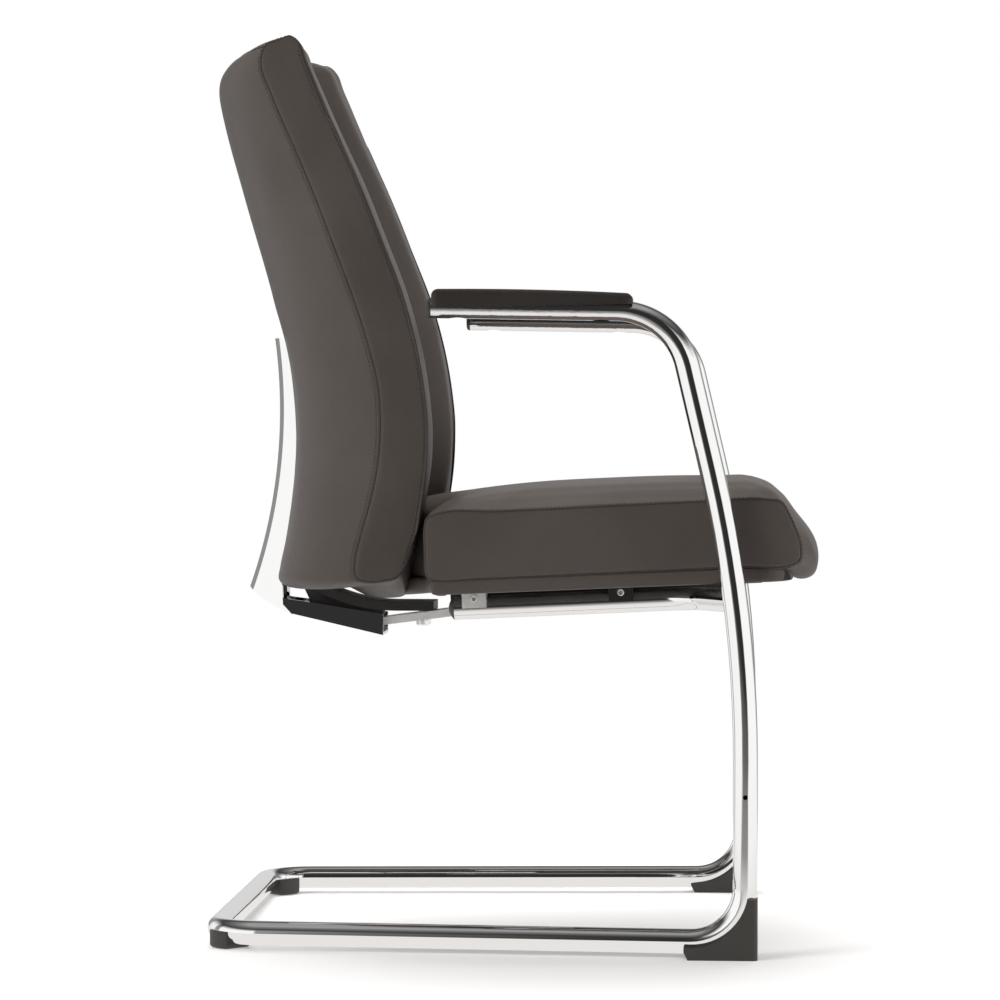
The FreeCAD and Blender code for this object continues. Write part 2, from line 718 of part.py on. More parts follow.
PANEL_SHARE = 0.45
panel_sections = []
board_sections = []
cushion_sections = []
for level, rear, rear_seam, front_seam, hollow, narrowing in BACK_LEVELS:
    half = size("back_half") - narrowing
    inner = rear - min(size("rear_panel"), PANEL_SHARE * (rear - hollow))
    inner_end = rear_seam - size("panel_edge")
    rear_line = [(-half, rear_seam), (0, rear), (half, rear_seam)]
    inner_line = [(-half, inner_end), (0, inner), (half, inner_end)]
    panel_sections.append(back_section(level, inner_line, rear_line))
    core_line = [(x, y - size("skin_gap")) for x, y in inner_line]
    ridge = half - size("wing_ridge")
    edge = half - size("wing_edge")
    edge_y = front_seam - size("wing_swell")
    ridge_y = front_seam + size("wing_fall")
    right_wing = [(ridge, ridge_y), (edge, edge_y), (half, front_seam)]
    left_wing = [(-x, y) for x, y in reversed(right_wing)]
    cushion_sections.append(back_section(level, left_wing + [(0, hollow)] + right_wing, core_line))
    board_half = half - size("back_board_inset")
    board_rear = []
    for x in (-board_half, 0, board_half):
        board_rear.append((x, arc_at(half, inner_end, inner, x) - size("back_board_gap")))
    board_front = [(x, y - size("back_board")) for x, y in board_rear]
    board_sections.append(back_section(level, board_front, board_rear))

back_panel_form = doc.addObject("Part::Feature", "BackPanelForm")
back_panel_form.Shape = Part.makeLoft(panel_sections, True, False)
back_board_form = doc.addObject("Part::Feature", "BackBoardForm")
back_board_form.Shape = Part.makeLoft(board_sections[2:-2], True, False)
back_cushion_form = doc.addObject("Part::Feature", "BackCushionForm")
back_cushion_form.Shape = Part.makeLoft(cushion_sections, True, False)

# Back bar: an L-shaped steel strap from under the seat to behind the back

bar_body = new_body("BackBar")
bar_sketch = new_sketch(bar_body, "YZ_Plane")
KNEE_SHIFT_Y = "Dim.bar_thick * (Dim.bar_knee_y - Dim.bar_flat) / Dim.bar_sweep"
KNEE_SHIFT_Z = f"sqrt(Dim.bar_thick ^ 2 - ({KNEE_SHIFT_Y}) ^ 2)"
KNEE_LOW_Y = f"Dim.bar_knee_y + {KNEE_SHIFT_Y}"
KNEE_LOW_Z = f"Dim.bar_knee_z - {KNEE_SHIFT_Z}"
outline(bar_sketch, [
    ("Dim.bar_front", "Dim.bar_top - Dim.bar_thick"),
    ("Dim.bar_flat", "Dim.bar_top - Dim.bar_thick", "Dim.bar_sweep + Dim.bar_thick"),
    (KNEE_LOW_Y, KNEE_LOW_Z, "Dim.bar_bend + Dim.bar_thick"),
    ("Dim.bar_back_y + Dim.bar_thick", "Dim.bar_back_z"),
    ("Dim.bar_end_y + Dim.bar_thick", "Dim.bar_end_z"),
    ("Dim.bar_end_y", "Dim.bar_end_z"),
    ("Dim.bar_back_y", "Dim.bar_back_z", "-Dim.bar_bend"),
    ("Dim.bar_knee_y", "Dim.bar_knee_z", "-Dim.bar_sweep"),
    ("Dim.bar_flat", "Dim.bar_top"),
    ("Dim.bar_front", "Dim.bar_top"),
])
pad(bar_body, bar_sketch, "2 * Dim.bar_half")

# Polished cover of the bar: a channel-shaped casting with flared cheeks and a narrower lower arm

def flare(body, half, rear_half):
    """Cuts both sides of a body to slope inwards towards the rear."""
    sketch = new_sketch(body, "XY_Plane")
    outside = f"{half} + Dim.cover_mouth"
    outline(sketch, [
        (half, "Dim.cover_flare_front"),
        (outside, "Dim.cover_flare_front"),
        (outside, "Dim.cover_flare_rear"),
        (rear_half, "Dim.cover_flare_rear"),
    ])
    outline(sketch, [
        (f"-({half})", "Dim.cover_flare_front"),
        (f"-({rear_half})", "Dim.cover_flare_rear"),
        (f"-({outside})", "Dim.cover_flare_rear"),
        (f"-({outside})", "Dim.cover_flare_front"),
    ])
    return pocket(body, sketch, "2 * (Dim.cover_top_z + Dim.cover_mouth)")


def is_cover_rear(edge):
    """A long edge where a cheek meets the rear face."""
    low, high = sorted(vertex.Z for vertex in edge.Vertexes)
    middle = edge.CenterOfMass
    tall = high - low > size("cover_knee_z") / 2
    return tall and middle.y > size("cover_cheek_y") and abs(middle.x) > size("cover_arm_half") / 2


cover_body = new_body("BarCover")
cheek_sketch = new_sketch(cover_body, "YZ_Plane")
outline(cheek_sketch, [
    ("Dim.cover_step_y", "Dim.cover_step_z", "Dim.cover_heel_sweep"),
    ("Dim.cover_heel_y", "Dim.cover_heel_z"),
    ("Dim.cover_knee_y", "Dim.cover_knee_z", "-Dim.cover_sweep"),
    ("Dim.cover_top_y", "Dim.cover_top_z"),
    ("Dim.cover_top_y - Dim.cover_lap", "Dim.cover_top_z", "Dim.cover_lap_sweep"),
    ("Dim.cover_cheek_y", "Dim.cover_cheek_z"),
    ("Dim.cover_cheek_low_y", "Dim.cover_cheek_low_z"),
    ("Dim.cover_throat_y", "Dim.cover_throat_z"),
])
pad(cover_body, cheek_sketch, "2 * Dim.cover_half")
cheeks = flare(cover_body, "Dim.cover_half", "Dim.cover_rear_half")
doc.recompute()
rear_edges = []
for number, edge in enumerate(cheeks.Shape.Edges, start=1):
    if is_cover_rear(edge):
        rear_edges.append(f"Edge{number}")
bevel = cover_body.newObject("PartDesign::Chamfer", "CoverBevel")
bevel.Base = (cheeks, rear_edges)
bevel.setExpression("Size", "Dim.cover_bevel")
arm_sketch = new_sketch(cover_body, "YZ_Plane")
outline(arm_sketch, [
    ("Dim.cover_front", "Dim.cover_front_low"),
    ("Dim.cover_step_y", "Dim.cover_step_z"),
    ("Dim.cover_throat_y + Dim.cover_wall", "Dim.cover_throat_z"),
    ("Dim.cover_throat_y + Dim.cover_wall", "Dim.cover_inner_z + Dim.cover_wall"),
    ("Dim.cover_inner_y", "Dim.cover_inner_z"),
    ("Dim.cover_front", "Dim.cover_front_top"),
])
pad(cover_body, arm_sketch, "2 * Dim.cover_arm_half")
arm_hollow = new_sketch(cover_body, "YZ_Plane")
ARM_SLOPE = "(Dim.cover_step_z - Dim.cover_front_low) / (Dim.cover_step_y - Dim.cover_front)"
ARM_FLOOR = f"Dim.cover_front_low + Dim.cover_wall - Dim.cover_mouth * {ARM_SLOPE}"
outline(arm_hollow, [
    ("Dim.cover_front - Dim.cover_mouth", ARM_FLOOR),
    ("Dim.cover_step_y", "Dim.cover_step_z + Dim.cover_wall"),
    ("Dim.cover_heel_y", "Dim.cover_heel_z + Dim.cover_wall"),
    ("Dim.cover_heel_y", "Dim.cover_cheek_z"),
    ("Dim.cover_front - Dim.cover_mouth", "Dim.cover_cheek_z"),
])
pocket(cover_body, arm_hollow, "2 * (Dim.cover_arm_half - Dim.cover_wall)")

cheek_hollow = new_body("CoverHollow")
hollow_sketch = new_sketch(cheek_hollow, "YZ_Plane")
INNER_KNEE_Z = "Dim.cover_knee_z + Dim.cover_wall / 2"
outline(hollow_sketch, [
    ("Dim.cover_throat_y + Dim.cover_wall", "Dim.cover_throat_z"),
    ("Dim.cover_heel_y - Dim.cover_wall / 2", "Dim.cover_heel_z + Dim.cover_wall"),
    ("Dim.cover_knee_y - Dim.cover_wall", INNER_KNEE_Z, "-Dim.cover_sweep - Dim.cover_wall"),
    ("Dim.cover_top_y - Dim.cover_wall", "Dim.cover_top_z - Dim.cover_cap"),
    ("Dim.cover_step_y", "Dim.cover_top_z - Dim.cover_cap"),
    ("Dim.cover_step_y", "Dim.cover_cheek_z"),
    ("Dim.cover_throat_y + Dim.cover_wall", "Dim.cover_cheek_z"),
])
pad(cheek_hollow, hollow_sketch, "2 * (Dim.cover_half - Dim.cover_wall)")
INNER_REAR_HALF = "Dim.cover_rear_half - Dim.cover_wall - Dim.cover_bevel / 2"
flare(cheek_hollow, "Dim.cover_half - Dim.cover_wall", INNER_REAR_HALF)
cover = node(cut(cover_body, cheek_hollow, "BarCoverOpen"), "back_bar_cover")

# Tongue plate between the cover and the bar's front end

tongue_body = new_body("Tongue")
tongue_sketch = new_sketch(tongue_body, "YZ_Plane")
TONGUE_FALL = "tan(Dim.tongue_fall)"
TONGUE_TOP = "(Dim.bar_top - Dim.bar_thick - Dim.tongue_gap)"
TONGUE_FRONT_Z = f"{TONGUE_TOP} + (Dim.bar_front - Dim.tongue_front) * {TONGUE_FALL}"
TONGUE_REAR_Z = f"{TONGUE_TOP} - (Dim.tongue_rear - Dim.bar_front) * {TONGUE_FALL}"
outline(tongue_sketch, [
    ("Dim.tongue_front", f"{TONGUE_FRONT_Z} - Dim.tongue_thick"),
    ("Dim.tongue_rear", f"{TONGUE_REAR_Z} - Dim.tongue_thick"),
    ("Dim.tongue_rear", TONGUE_REAR_Z),
    ("Dim.tongue_front", TONGUE_FRONT_Z),
])
pad(tongue_body, tongue_sketch, "2 * Dim.tongue_half")


# Bearer block between the tongue and the seat board

bearer = new_body("Bearer")
bearer_sketch = new_sketch(bearer, "YZ_Plane")
BOARD_SLOPE = "tan(Dim.seat_tilt)"
outline(bearer_sketch, [
    ("Dim.bearer_front", f"{TONGUE_TOP} + (Dim.bar_front - Dim.bearer_front) * {TONGUE_FALL}"),
    ("Dim.bearer_rear", f"{TONGUE_TOP} + (Dim.bar_front - Dim.bearer_rear) * {TONGUE_FALL}"),
    ("Dim.bearer_rear", f"Dim.seat_z - Dim.bearer_rear * {BOARD_SLOPE}"),
    ("Dim.bearer_front", f"Dim.seat_z - Dim.bearer_front * {BOARD_SLOPE}"),
])
pad(bearer, bearer_sketch, "2 * Dim.bearer_half")
node(bearer, "seat_rear_bearer")


# Bolts

def bolt(name, head_high, length):
    """A round-headed bolt that points up from its head's seat."""
    body = new_body(name)
    sketch = new_sketch(body, "XZ_Plane")
    outline(sketch, [
        ("0", f"-{head_high}"),
        ("Dim.bolt_head / 2 - Dim.bolt_edge", f"-{head_high}"),
        ("Dim.bolt_head / 2", f"Dim.bolt_edge - {head_high}"),
        ("Dim.bolt_head / 2", "0"),
        ("Dim.bolt_dia / 2", "0"),
        ("Dim.bolt_dia / 2", length),
        ("0", length),
    ])
    turn = body.newObject("PartDesign::Revolution", f"{name}Turn")
    turn.Profile = sketch
    turn.ReferenceAxis = (sketch, ["V_Axis"])
    turn.Angle = 360
    return body


def bolt_pair(body, label):
    """A bolt and its twin in one node."""
    twin = doc.addObject("Part::Mirroring", f"{body.Name}Twin")
    twin.Source = body
    twin.Normal = X_AXIS
    pair = doc.addObject("Part::Compound", f"{body.Name}Pair")
    pair.Links = [body, twin]
    return node(pair, label)


SEAT_BOLT_FALL = f"(Dim.seat_bolt_y - Dim.bar_front) * {TONGUE_FALL}"
SEAT_BOLT_SEAT = f"{TONGUE_TOP} - {SEAT_BOLT_FALL} - Dim.tongue_thick - Dim.bolt_edge"
seat_bolt = bolt("SeatBolt", "Dim.seat_bolt_head", "Dim.seat_bolt_long")
place(seat_bolt, "-Dim.seat_bolt_x", "Dim.seat_bolt_y", SEAT_BOLT_SEAT)
seat_bolts = bolt_pair(seat_bolt, "bar_seat_bolts")

back_bolt = bolt("BackBolt", "Dim.back_bolt_head", "Dim.back_bolt_long")
BAR_LEAN = "(Dim.bar_back_y - Dim.bar_end_y) / (Dim.bar_end_z - Dim.bar_back_z)"
BAR_REAR = f"Dim.bar_back_y + Dim.bar_thick - (Dim.back_bolt_z - Dim.bar_back_z) * {BAR_LEAN}"
place(back_bolt, "-Dim.back_bolt_x", f"{BAR_REAR} + Dim.bolt_gap", "Dim.back_bolt_z", X_AXIS, "90")
back_bolts = bolt_pair(back_bolt, "bar_back_bolts")

node(cut(tongue_body, seat_bolts, "BarTongue"), "back_bar_tongue")
bar_drilled = cut(bar_body, seat_bolts, "BarDrilled")
node(cut(bar_drilled, back_bolts, "BarFinished"), "back_bar")

# The bar stands in a slot between the back's cushion and its rear panel
bolted_bar = doc.addObject("Part::Compound", "BoltedBar")
bolted_bar.Links = [bar_body, back_bolts]
cushion_hollow = cut(back_cushion_form, back_board_form, "BackCushionHollow")
node(cut(cushion_hollow, bolted_bar, "BackCushion"), "back_cushion")
panel_slotted = cut(back_panel_form, bolted_bar, "BackPanelSlotted")
node(cut(panel_slotted, cover, "BackPanel"), "back_rear_panel")
node(cut(back_board_form, back_bolts, "BackBoard"), "back_board")

doc.recompute()

failed = [item.Name for item in doc.Objects if "Invalid" in item.State or "Error" in item.State]
failed += [piece.Label for piece in nodes if piece.Shape.isNull() or not piece.Shape.isValid()]
if failed:
    raise RuntimeError(f"these pieces failed: {failed}")

os.makedirs("parts", exist_ok=True)
whole = FreeCAD.BoundBox()
for piece in nodes:
    piece.Shape.exportStep(f"parts/{piece.Label}.step")
    whole.add(piece.Shape.optimalBoundingBox(False))
print(f"{len(nodes)} pieces, {whole.XLength:.1f} x {whole.YLength:.1f} x {whole.ZLength:.1f} mm")
print(f"middle of the outline at {whole.Center.x:.1f}, {whole.Center.y:.1f}, floor at {whole.ZMin:.2f}")
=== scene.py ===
# %% [markdown]
# # A cantilever visitor chair
# One bent, chromed tube carries everything: it runs from each arm down the front upright, along the
# floor and round the back. Two thinner rails reach from the uprights to the seat, and an L-shaped bar
# carries the back. The solid parts come ready made at their true size. This lesson dresses them: the
# leather cushions, their seams and stitches, the finishes, the light and the camera.

# %% Load the solid parts
import json
import math

import bpy
import numpy as np
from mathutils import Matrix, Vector


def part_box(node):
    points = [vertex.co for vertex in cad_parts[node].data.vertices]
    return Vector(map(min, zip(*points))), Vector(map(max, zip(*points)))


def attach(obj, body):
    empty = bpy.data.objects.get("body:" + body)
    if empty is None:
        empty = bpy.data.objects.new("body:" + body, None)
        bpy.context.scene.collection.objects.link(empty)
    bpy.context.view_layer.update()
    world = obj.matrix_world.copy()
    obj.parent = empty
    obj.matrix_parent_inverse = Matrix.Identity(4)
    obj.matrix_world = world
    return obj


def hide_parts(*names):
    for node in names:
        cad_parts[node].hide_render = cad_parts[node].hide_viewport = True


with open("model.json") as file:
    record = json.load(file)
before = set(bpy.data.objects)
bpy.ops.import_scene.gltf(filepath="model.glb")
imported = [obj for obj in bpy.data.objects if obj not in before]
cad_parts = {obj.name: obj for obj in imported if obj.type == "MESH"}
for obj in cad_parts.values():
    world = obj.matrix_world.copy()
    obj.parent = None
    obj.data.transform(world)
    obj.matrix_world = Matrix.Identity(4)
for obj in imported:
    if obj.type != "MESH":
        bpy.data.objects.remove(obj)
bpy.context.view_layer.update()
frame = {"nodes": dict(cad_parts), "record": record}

nodes = frame["nodes"]
MM = 0.001

# %% [markdown]
# ## Writing shaders as sums
# A shader tree is easier to read as arithmetic than as a list of nodes and links. The class below
# wraps one output of a node. Its operators add Math nodes, and `add` makes any other kind of node.


# %% A wire between shader nodes
class Wire:
    """An output of a shader node that Python can do sums with."""

    def __init__(self, socket):
        self.socket = socket
        self.tree = socket.id_data

    @staticmethod
    def add(tree, kind, settings=None, values=None, output=0):
        """Any node: its settings first, then the values or links of its inputs."""
        node = tree.nodes.new(kind)
        for name, setting in (settings or {}).items():
            if name == "stops":
                ramp = node.color_ramp.elements
                ramp.remove(ramp[-1])
                ramp[0].position = setting[0][0]
                ramp[0].color = setting[0][1]
                for place, color in setting[1:]:
                    ramp.new(place).color = color
            else:
                setattr(node, name, setting)
        for name, value in (values or {}).items():
            if isinstance(value, Wire):
                tree.links.new(value.socket, node.inputs[name])
            else:
                node.inputs[name].default_value = value
        return Wire(node.outputs[output])

    def sum_with(self, operation, first, second):
        """A Math node of two values or wires."""
        return Wire.add(self.tree, "ShaderNodeMath", {"operation": operation}, {0: first, 1: second})

    def __add__(self, other):
        return self.sum_with("ADD", self, other)

    __radd__ = __add__

    def __sub__(self, other):
        return self.sum_with("SUBTRACT", self, other)

    def __rsub__(self, other):
        return self.sum_with("SUBTRACT", other, self)

    def __mul__(self, other):
        return self.sum_with("MULTIPLY", self, other)

    __rmul__ = __mul__

    def above(self, other):
        """The greater of two values."""
        return self.sum_with("MAXIMUM", self, other)


def new_finish(name, fixed):
    """A material with one Principled shader, its unchanging sockets set by name."""
    material = bpy.data.materials.new(name)
    material.use_nodes = True
    shader = material.node_tree.nodes["Principled BSDF"]
    for socket, value in fixed.items():
        shader.inputs[socket].default_value = value
    return material


def feed(material, wires):
    """Links wires to the shader's sockets."""
    shader = material.node_tree.nodes["Principled BSDF"]
    for socket, wire in wires.items():
        material.node_tree.links.new(wire.socket, shader.inputs[socket])


def places_on(material):
    """Object coordinates, in metres."""
    return Wire.add(material.node_tree, "ShaderNodeTexCoord", output="Object")


def mottle(material, scale, detail=3.0, distortion=0.0):
    """Cloudy noise from 0 to 1."""
    values = {"Vector": places_on(material), "Scale": scale, "Detail": detail, "Distortion": distortion}
    return Wire.add(material.node_tree, "ShaderNodeTexNoise", None, values)


def shades(material, factor, dark, light):
    """A colour between two shades."""
    values = {"Factor": factor, "A": (*dark, 1), "B": (*light, 1)}
    return Wire.add(material.node_tree, "ShaderNodeMix", {"data_type": "RGBA"}, values, output=2)


def raised(material, height, strength, distance):
    """A normal bent by a height."""
    values = {"Height": height, "Strength": strength, "Distance": distance}
    return Wire.add(material.node_tree, "ShaderNodeBump", None, values)


print("shader helpers ready")

# %% [markdown]
# ## Leather
# The cushions wear a smooth, dark brown-grey hide. Close up it has a fine pebble of about a
# millimetre, with pores between, and it is not one colour: painted shade darkens it between the
# pebbles, where the grain dips, and it is a little lighter in broad clouds. Its gloss is soft and also
# uneven. A picture of leather could do it, but noise and cells never repeat. The arm pads wear a
# blacker skin, finer in pebble.


# %% The hide
def hide(name, dark, light, pebble):
    """A leather finish, with a pebble of the given size in metres."""
    leather = new_finish(name, {"Specular IOR Level": 0.2})
    tree = leather.node_tree
    cells = {"Vector": places_on(leather), "Scale": 1 / pebble, "Smoothness": 0.6}
    pebbles = Wire.add(tree, "ShaderNodeTexVoronoi", {"feature": "SMOOTH_F1"}, cells)
    clouds = mottle(leather, 7, 4, 0.4)
    creases = mottle(leather, 160, 5, 0.8)
    # Painted shade: the hide is darker between the pebbles, where the grain dips. The crease noise darkens
    # it at random.
    pore_shade_and_crease_tone = pebbles * 0.35 + creases * 0.25
    tone = clouds * 1.1 - pore_shade_and_crease_tone * 0.5 + 0.1
    feed(leather, {
        "Base Color": shades(leather, tone, dark, light),
        "Roughness": clouds * 0.10 + creases * 0.08 + 0.36,
        "Normal": raised(leather, creases * 0.5 - pebbles, 0.16, 0.0006),
    })
    return leather


leather = hide("leather", (0.043, 0.0355, 0.0315), (0.068, 0.0565, 0.0505), 0.0013)
pad_skin = hide("arm_pad_skin", (0.017, 0.014, 0.012), (0.028, 0.024, 0.021), 0.0009)
print("leather:", len(leather.node_tree.nodes), "nodes")

# %% [markdown]
# ## Chrome, plastic and steel
# Chrome is a mirror with hardly a haze, so its look is made by what it reflects. A faint smear of
# roughness keeps it from looking like a drawing. The feet and plugs are moulded in black plastic with
# a fine spark-eroded grain, the strap is powder coated, and the small hardware is zinc plated.

# %% The hard finishes
chrome = new_finish("chrome", {"Metallic": 1.0, "Base Color": (0.94, 0.935, 0.93, 1)})
smears = mottle(chrome, 22, 4, 0.6)
feed(chrome, {"Roughness": smears * 0.03 + 0.02})


def moulded(name, dark, light, grain, gloss):
    """Black plastic or powder coat, with a grain of the given size in metres."""
    plastic = new_finish(name, {"Specular IOR Level": 0.45})
    specks = mottle(plastic, 1 / grain, 2)
    wear = mottle(plastic, 30, 4)
    feed(plastic, {
        "Base Color": shades(plastic, specks * 0.5 + wear * 0.5, dark, light),
        "Roughness": wear * 0.12 + gloss,
        "Normal": raised(plastic, specks, 0.12, 0.0003),
    })
    return plastic


black_plastic = moulded("black_plastic", (0.020, 0.018, 0.017), (0.034, 0.031, 0.029), 0.0007, 0.42)
foot_plastic = moulded("foot_plastic", (0.026, 0.023, 0.021), (0.042, 0.038, 0.034), 0.0008, 0.46)
black_steel = moulded("black_steel", (0.014, 0.013, 0.012), (0.024, 0.022, 0.021), 0.0005, 0.34)

zinc = new_finish("zinc", {"Metallic": 0.5})
spangle = mottle(zinc, 300, 3)
feed(zinc, {
    "Base Color": shades(zinc, spangle, (0.80, 0.79, 0.77), (0.90, 0.89, 0.87)),
    "Roughness": spangle * 0.12 + 0.26,
})

plywood = new_finish("plywood", {})
rings = {"Vector": places_on(plywood), "Scale": 60.0, "Distortion": 3.0, "Detail": 3.0}
veneer = Wire.add(plywood.node_tree, "ShaderNodeTexWave", {"bands_direction": "Z"}, rings)
feed(plywood, {
    "Base Color": shades(plywood, veneer, (0.012, 0.010, 0.009), (0.030, 0.025, 0.021)),
    "Roughness": veneer * 0.1 + 0.55,
})

# The stitches' own dark colour. On the seam cords the same finish is painted shade, the dark deep in the
# seams.
thread_and_seam_shade = new_finish("thread_and_seam_shade", {"Roughness": 0.7})
twist = mottle(thread_and_seam_shade, 1800, 2)
feed(thread_and_seam_shade, {"Base Color": shades(thread_and_seam_shade, twist, (0.010, 0.008, 0.007), (0.032, 0.027, 0.024))})

FINISHES = {
    "chrome": chrome,
    "arm_pad": pad_skin,
    "black_plastic": black_plastic,
    "foot": foot_plastic,
    "plywood": plywood,
    "black_steel": black_steel,
    "steel": zinc,
    "leather": leather,
}
for part in frame["record"]["subparts"]:
    slots = nodes[part["node"]].data.materials
    slots.clear()
    slots.append(FINISHES[part["material_slot"]])
for side in ("right", "left"):
    nodes[f"rail_saddle_front_{side}"].data.materials[0] = black_steel
nodes["back_bar_tongue"].data.materials[0] = zinc

# %% [markdown]
# ## Smooth chrome
# The solid parts come as loose triangles, so a tube shows flat facets in its reflections. A copy with
# its corners merged can be shaded smooth, with only the true edges left sharp. The copy has the same
# shape and takes the part's place, so nothing moves.

# %% Merge and smooth the chromed parts
MERGE_GAP = 0.01 * MM
SHARP_EDGE = math.radians(28)


def select_only(piece):
    """Deselects everything, then selects one piece and makes it active."""
    bpy.ops.object.select_all(action="DESELECT")
    bpy.context.view_layer.objects.active = piece
    piece.select_set(True)


polished = []
for part in frame["record"]["subparts"]:
    if part["material_slot"] != "chrome":
        continue
    shine = bpy.data.objects.new(part["node"] + "_polished", nodes[part["node"]].data.copy())
    bpy.context.scene.collection.objects.link(shine)
    select_only(shine)
    bpy.ops.mesh.customdata_custom_splitnormals_clear()
    bpy.ops.object.mode_set(mode="EDIT")
    bpy.ops.mesh.select_all(action="SELECT")
    bpy.ops.mesh.remove_doubles(threshold=MERGE_GAP)
    bpy.ops.object.mode_set(mode="OBJECT")
    bpy.ops.object.shade_smooth_by_angle(angle=SHARP_EDGE)
    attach(shine, "root")
    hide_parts(part["node"])
    polished.append(shine)
print("polished:", {shine.name: len(shine.data.polygons) for shine in polished})

# %% [markdown]
# ## How a boxed cushion is sewn
# Both cushions are made the same way: one long strip of leather wraps round the foam from the front,
# over the top and down behind, and a flat side panel is sewn into each end. So each cushion is a row
# of closed outlines from one side to the other, and two patches that close the ends. The seam is the
# outline where they meet. Points are spaced evenly along four sides of every outline, so the same
# count fits the wrap and the patch.

# %% Outlines and sections
CURVE_STEPS = 24


def smooth_ring(sides, counts):
    """A closed smooth curve through the places of four sides, with evenly spaced points on each side."""
    places = np.array([place for side in sides for place in side], float)
    starts = np.cumsum([0] + [len(side) for side in sides])
    before = np.roll(places, 1, 0)
    after = np.roll(places, -1, 0)
    back = np.linalg.norm(places - before, axis=1)[:, None]
    ahead = np.linalg.norm(after - places, axis=1)[:, None]
    slope = ((places - before) / back * ahead + (after - places) / ahead * back) / (back + ahead)
    fine = np.linspace(0, 1, CURVE_STEPS, endpoint=False)[:, None]
    ring = []
    for side, count in enumerate(counts):
        curve = []
        for number in range(starts[side], starts[side + 1]):
            following = (number + 1) % len(places)
            span = ahead[number]
            first, last = places[number], places[following]
            lean, lean_next = slope[number] * span, slope[following] * span
            curve.append(
                (2 * fine ** 3 - 3 * fine ** 2 + 1) * first + (fine ** 3 - 2 * fine ** 2 + fine) * lean
                + (3 * fine ** 2 - 2 * fine ** 3) * last + (fine ** 3 - fine ** 2) * lean_next
            )
        curve.append(places[starts[side + 1] % len(places)][None, :])
        curve = np.concatenate(curve)
        steps = np.concatenate([[0], np.cumsum(np.linalg.norm(np.diff(curve, axis=0), axis=1))])
        wanted = np.linspace(0, steps[-1], count, endpoint=False)
        ring.append(np.stack([np.interp(wanted, steps, curve[:, axis]) for axis in (0, 1)], 1))
    return np.concatenate(ring)


NEAR_SEAM = (0, 1.1, 2.5, 4.3, 6.8, 10.5, 16, 23, 32)


def places_across(half, step):
    """Places from one seam to the other, close together beside the seams."""
    inner = half - NEAR_SEAM[-1]
    count = max(2, round(inner / step))
    outer = half - np.array(NEAR_SEAM[::-1])
    places = np.concatenate([np.linspace(0, inner, count, endpoint=False), outer])
    return np.concatenate([-places[:0:-1], places])


SEAM_MARGIN = 1.8 * MM


def side_patch(ring, counts):
    """Points of a patch inside a ring of four sides, the outermost rows a margin away from the seam."""
    long, short = counts[0], counts[1]
    first = ring[:long + 1]
    second = ring[long:long + short + 1]
    third = ring[long + short:2 * long + short + 1][::-1]
    fourth = np.concatenate([ring[2 * long + short:], ring[:1]])[::-1]

    def spread(count, size):
        share = SEAM_MARGIN / size
        inside = np.linspace(share, 1 - share, count - 1)
        return np.concatenate([[0], inside, [1]])

    u = spread(long, np.linalg.norm(np.diff(first, axis=0), axis=1).sum())[:, None, None]
    v = spread(short, np.linalg.norm(second[-1] - second[0]))[None, :, None]
    u_rim = np.linspace(0, 1, long + 1)
    v_rim = np.linspace(0, 1, short + 1)

    def along(line, rim, wanted):
        return np.stack([np.interp(wanted, rim, line[:, axis]) for axis in range(line.shape[1])], 1)

    first = along(first, u_rim, u[:, 0, 0])
    third = along(third, u_rim, u[:, 0, 0])
    second = along(second, v_rim, v[0, :, 0])
    fourth = along(fourth, v_rim, v[0, :, 0])
    ruled = (1 - v) * first[:, None] + v * third[:, None]
    ruled += (1 - u) * fourth[None, :] + u * second[None, :]
    corners = (1 - u) * (1 - v) * fourth[0] + u * (1 - v) * second[0]
    corners += (1 - u) * v * fourth[-1] + u * v * second[-1]
    return (ruled - corners)[1:-1, 1:-1]


def face_outward():
    """Turns every face of the active piece outward."""
    bpy.ops.object.mode_set(mode="EDIT")
    bpy.ops.mesh.select_all(action="SELECT")
    bpy.ops.mesh.normals_make_consistent(inside=False)
    bpy.ops.object.mode_set(mode="OBJECT")


def sew(name, rows, patches, counts):
    """One mesh from the wrap's rows of outlines and the two side patches."""
    points = [point for row in rows for point in row]
    around = len(rows[0])
    faces = []
    for row in range(len(rows) - 1):
        for number in range(around):
            following = (number + 1) % around
            low, high = row * around, (row + 1) * around
            faces.append((low + number, low + following, high + following, high + number))
    long, short = counts[0], counts[1]
    for end, patch in ((0, patches[0]), (len(rows) - 1, patches[1])):
        rim = end * around
        inner = len(points)
        points.extend(patch.reshape(-1, 3))

        def corner(i, j):
            if j == 0:
                return rim + i
            if i == long:
                return rim + long + j
            if j == short:
                return rim + long + short + (long - i)
            if i == 0:
                return rim + (2 * long + short + (short - j)) % around
            return inner + (i - 1) * (short - 1) + (j - 1)

        for i in range(long):
            for j in range(short):
                quad = (corner(i, j), corner(i + 1, j), corner(i + 1, j + 1), corner(i, j + 1))
                faces.append(quad if end else quad[::-1])
    mesh = bpy.data.meshes.new(name)
    mesh.from_pydata([tuple(point) for point in points], [], faces)
    piece = bpy.data.objects.new(name, mesh)
    bpy.context.scene.collection.objects.link(piece)
    select_only(piece)
    face_outward()
    return piece


print("sewing helpers ready")

# %% [markdown]
# ## Stuffing
# Sewn leather over foam is never flat: the foam pushes each panel out and the seams hold it back.
# Blender's cloth does the same when the seams are pinned and a little pressure fills the cushion. No
# point may move further than a few millimetres, so the cushion keeps its size. Sculpting the swell by
# hand would take longer and look less even.

# %% Fill a cushion, then sink its seams
STUFFING_FRAMES = 20


def coordinates(piece):
    """The places of a piece's points, in metres."""
    flat = np.zeros(len(piece.data.vertices) * 3, np.float32)
    piece.data.vertices.foreach_get("co", flat)
    return flat.reshape(-1, 3)


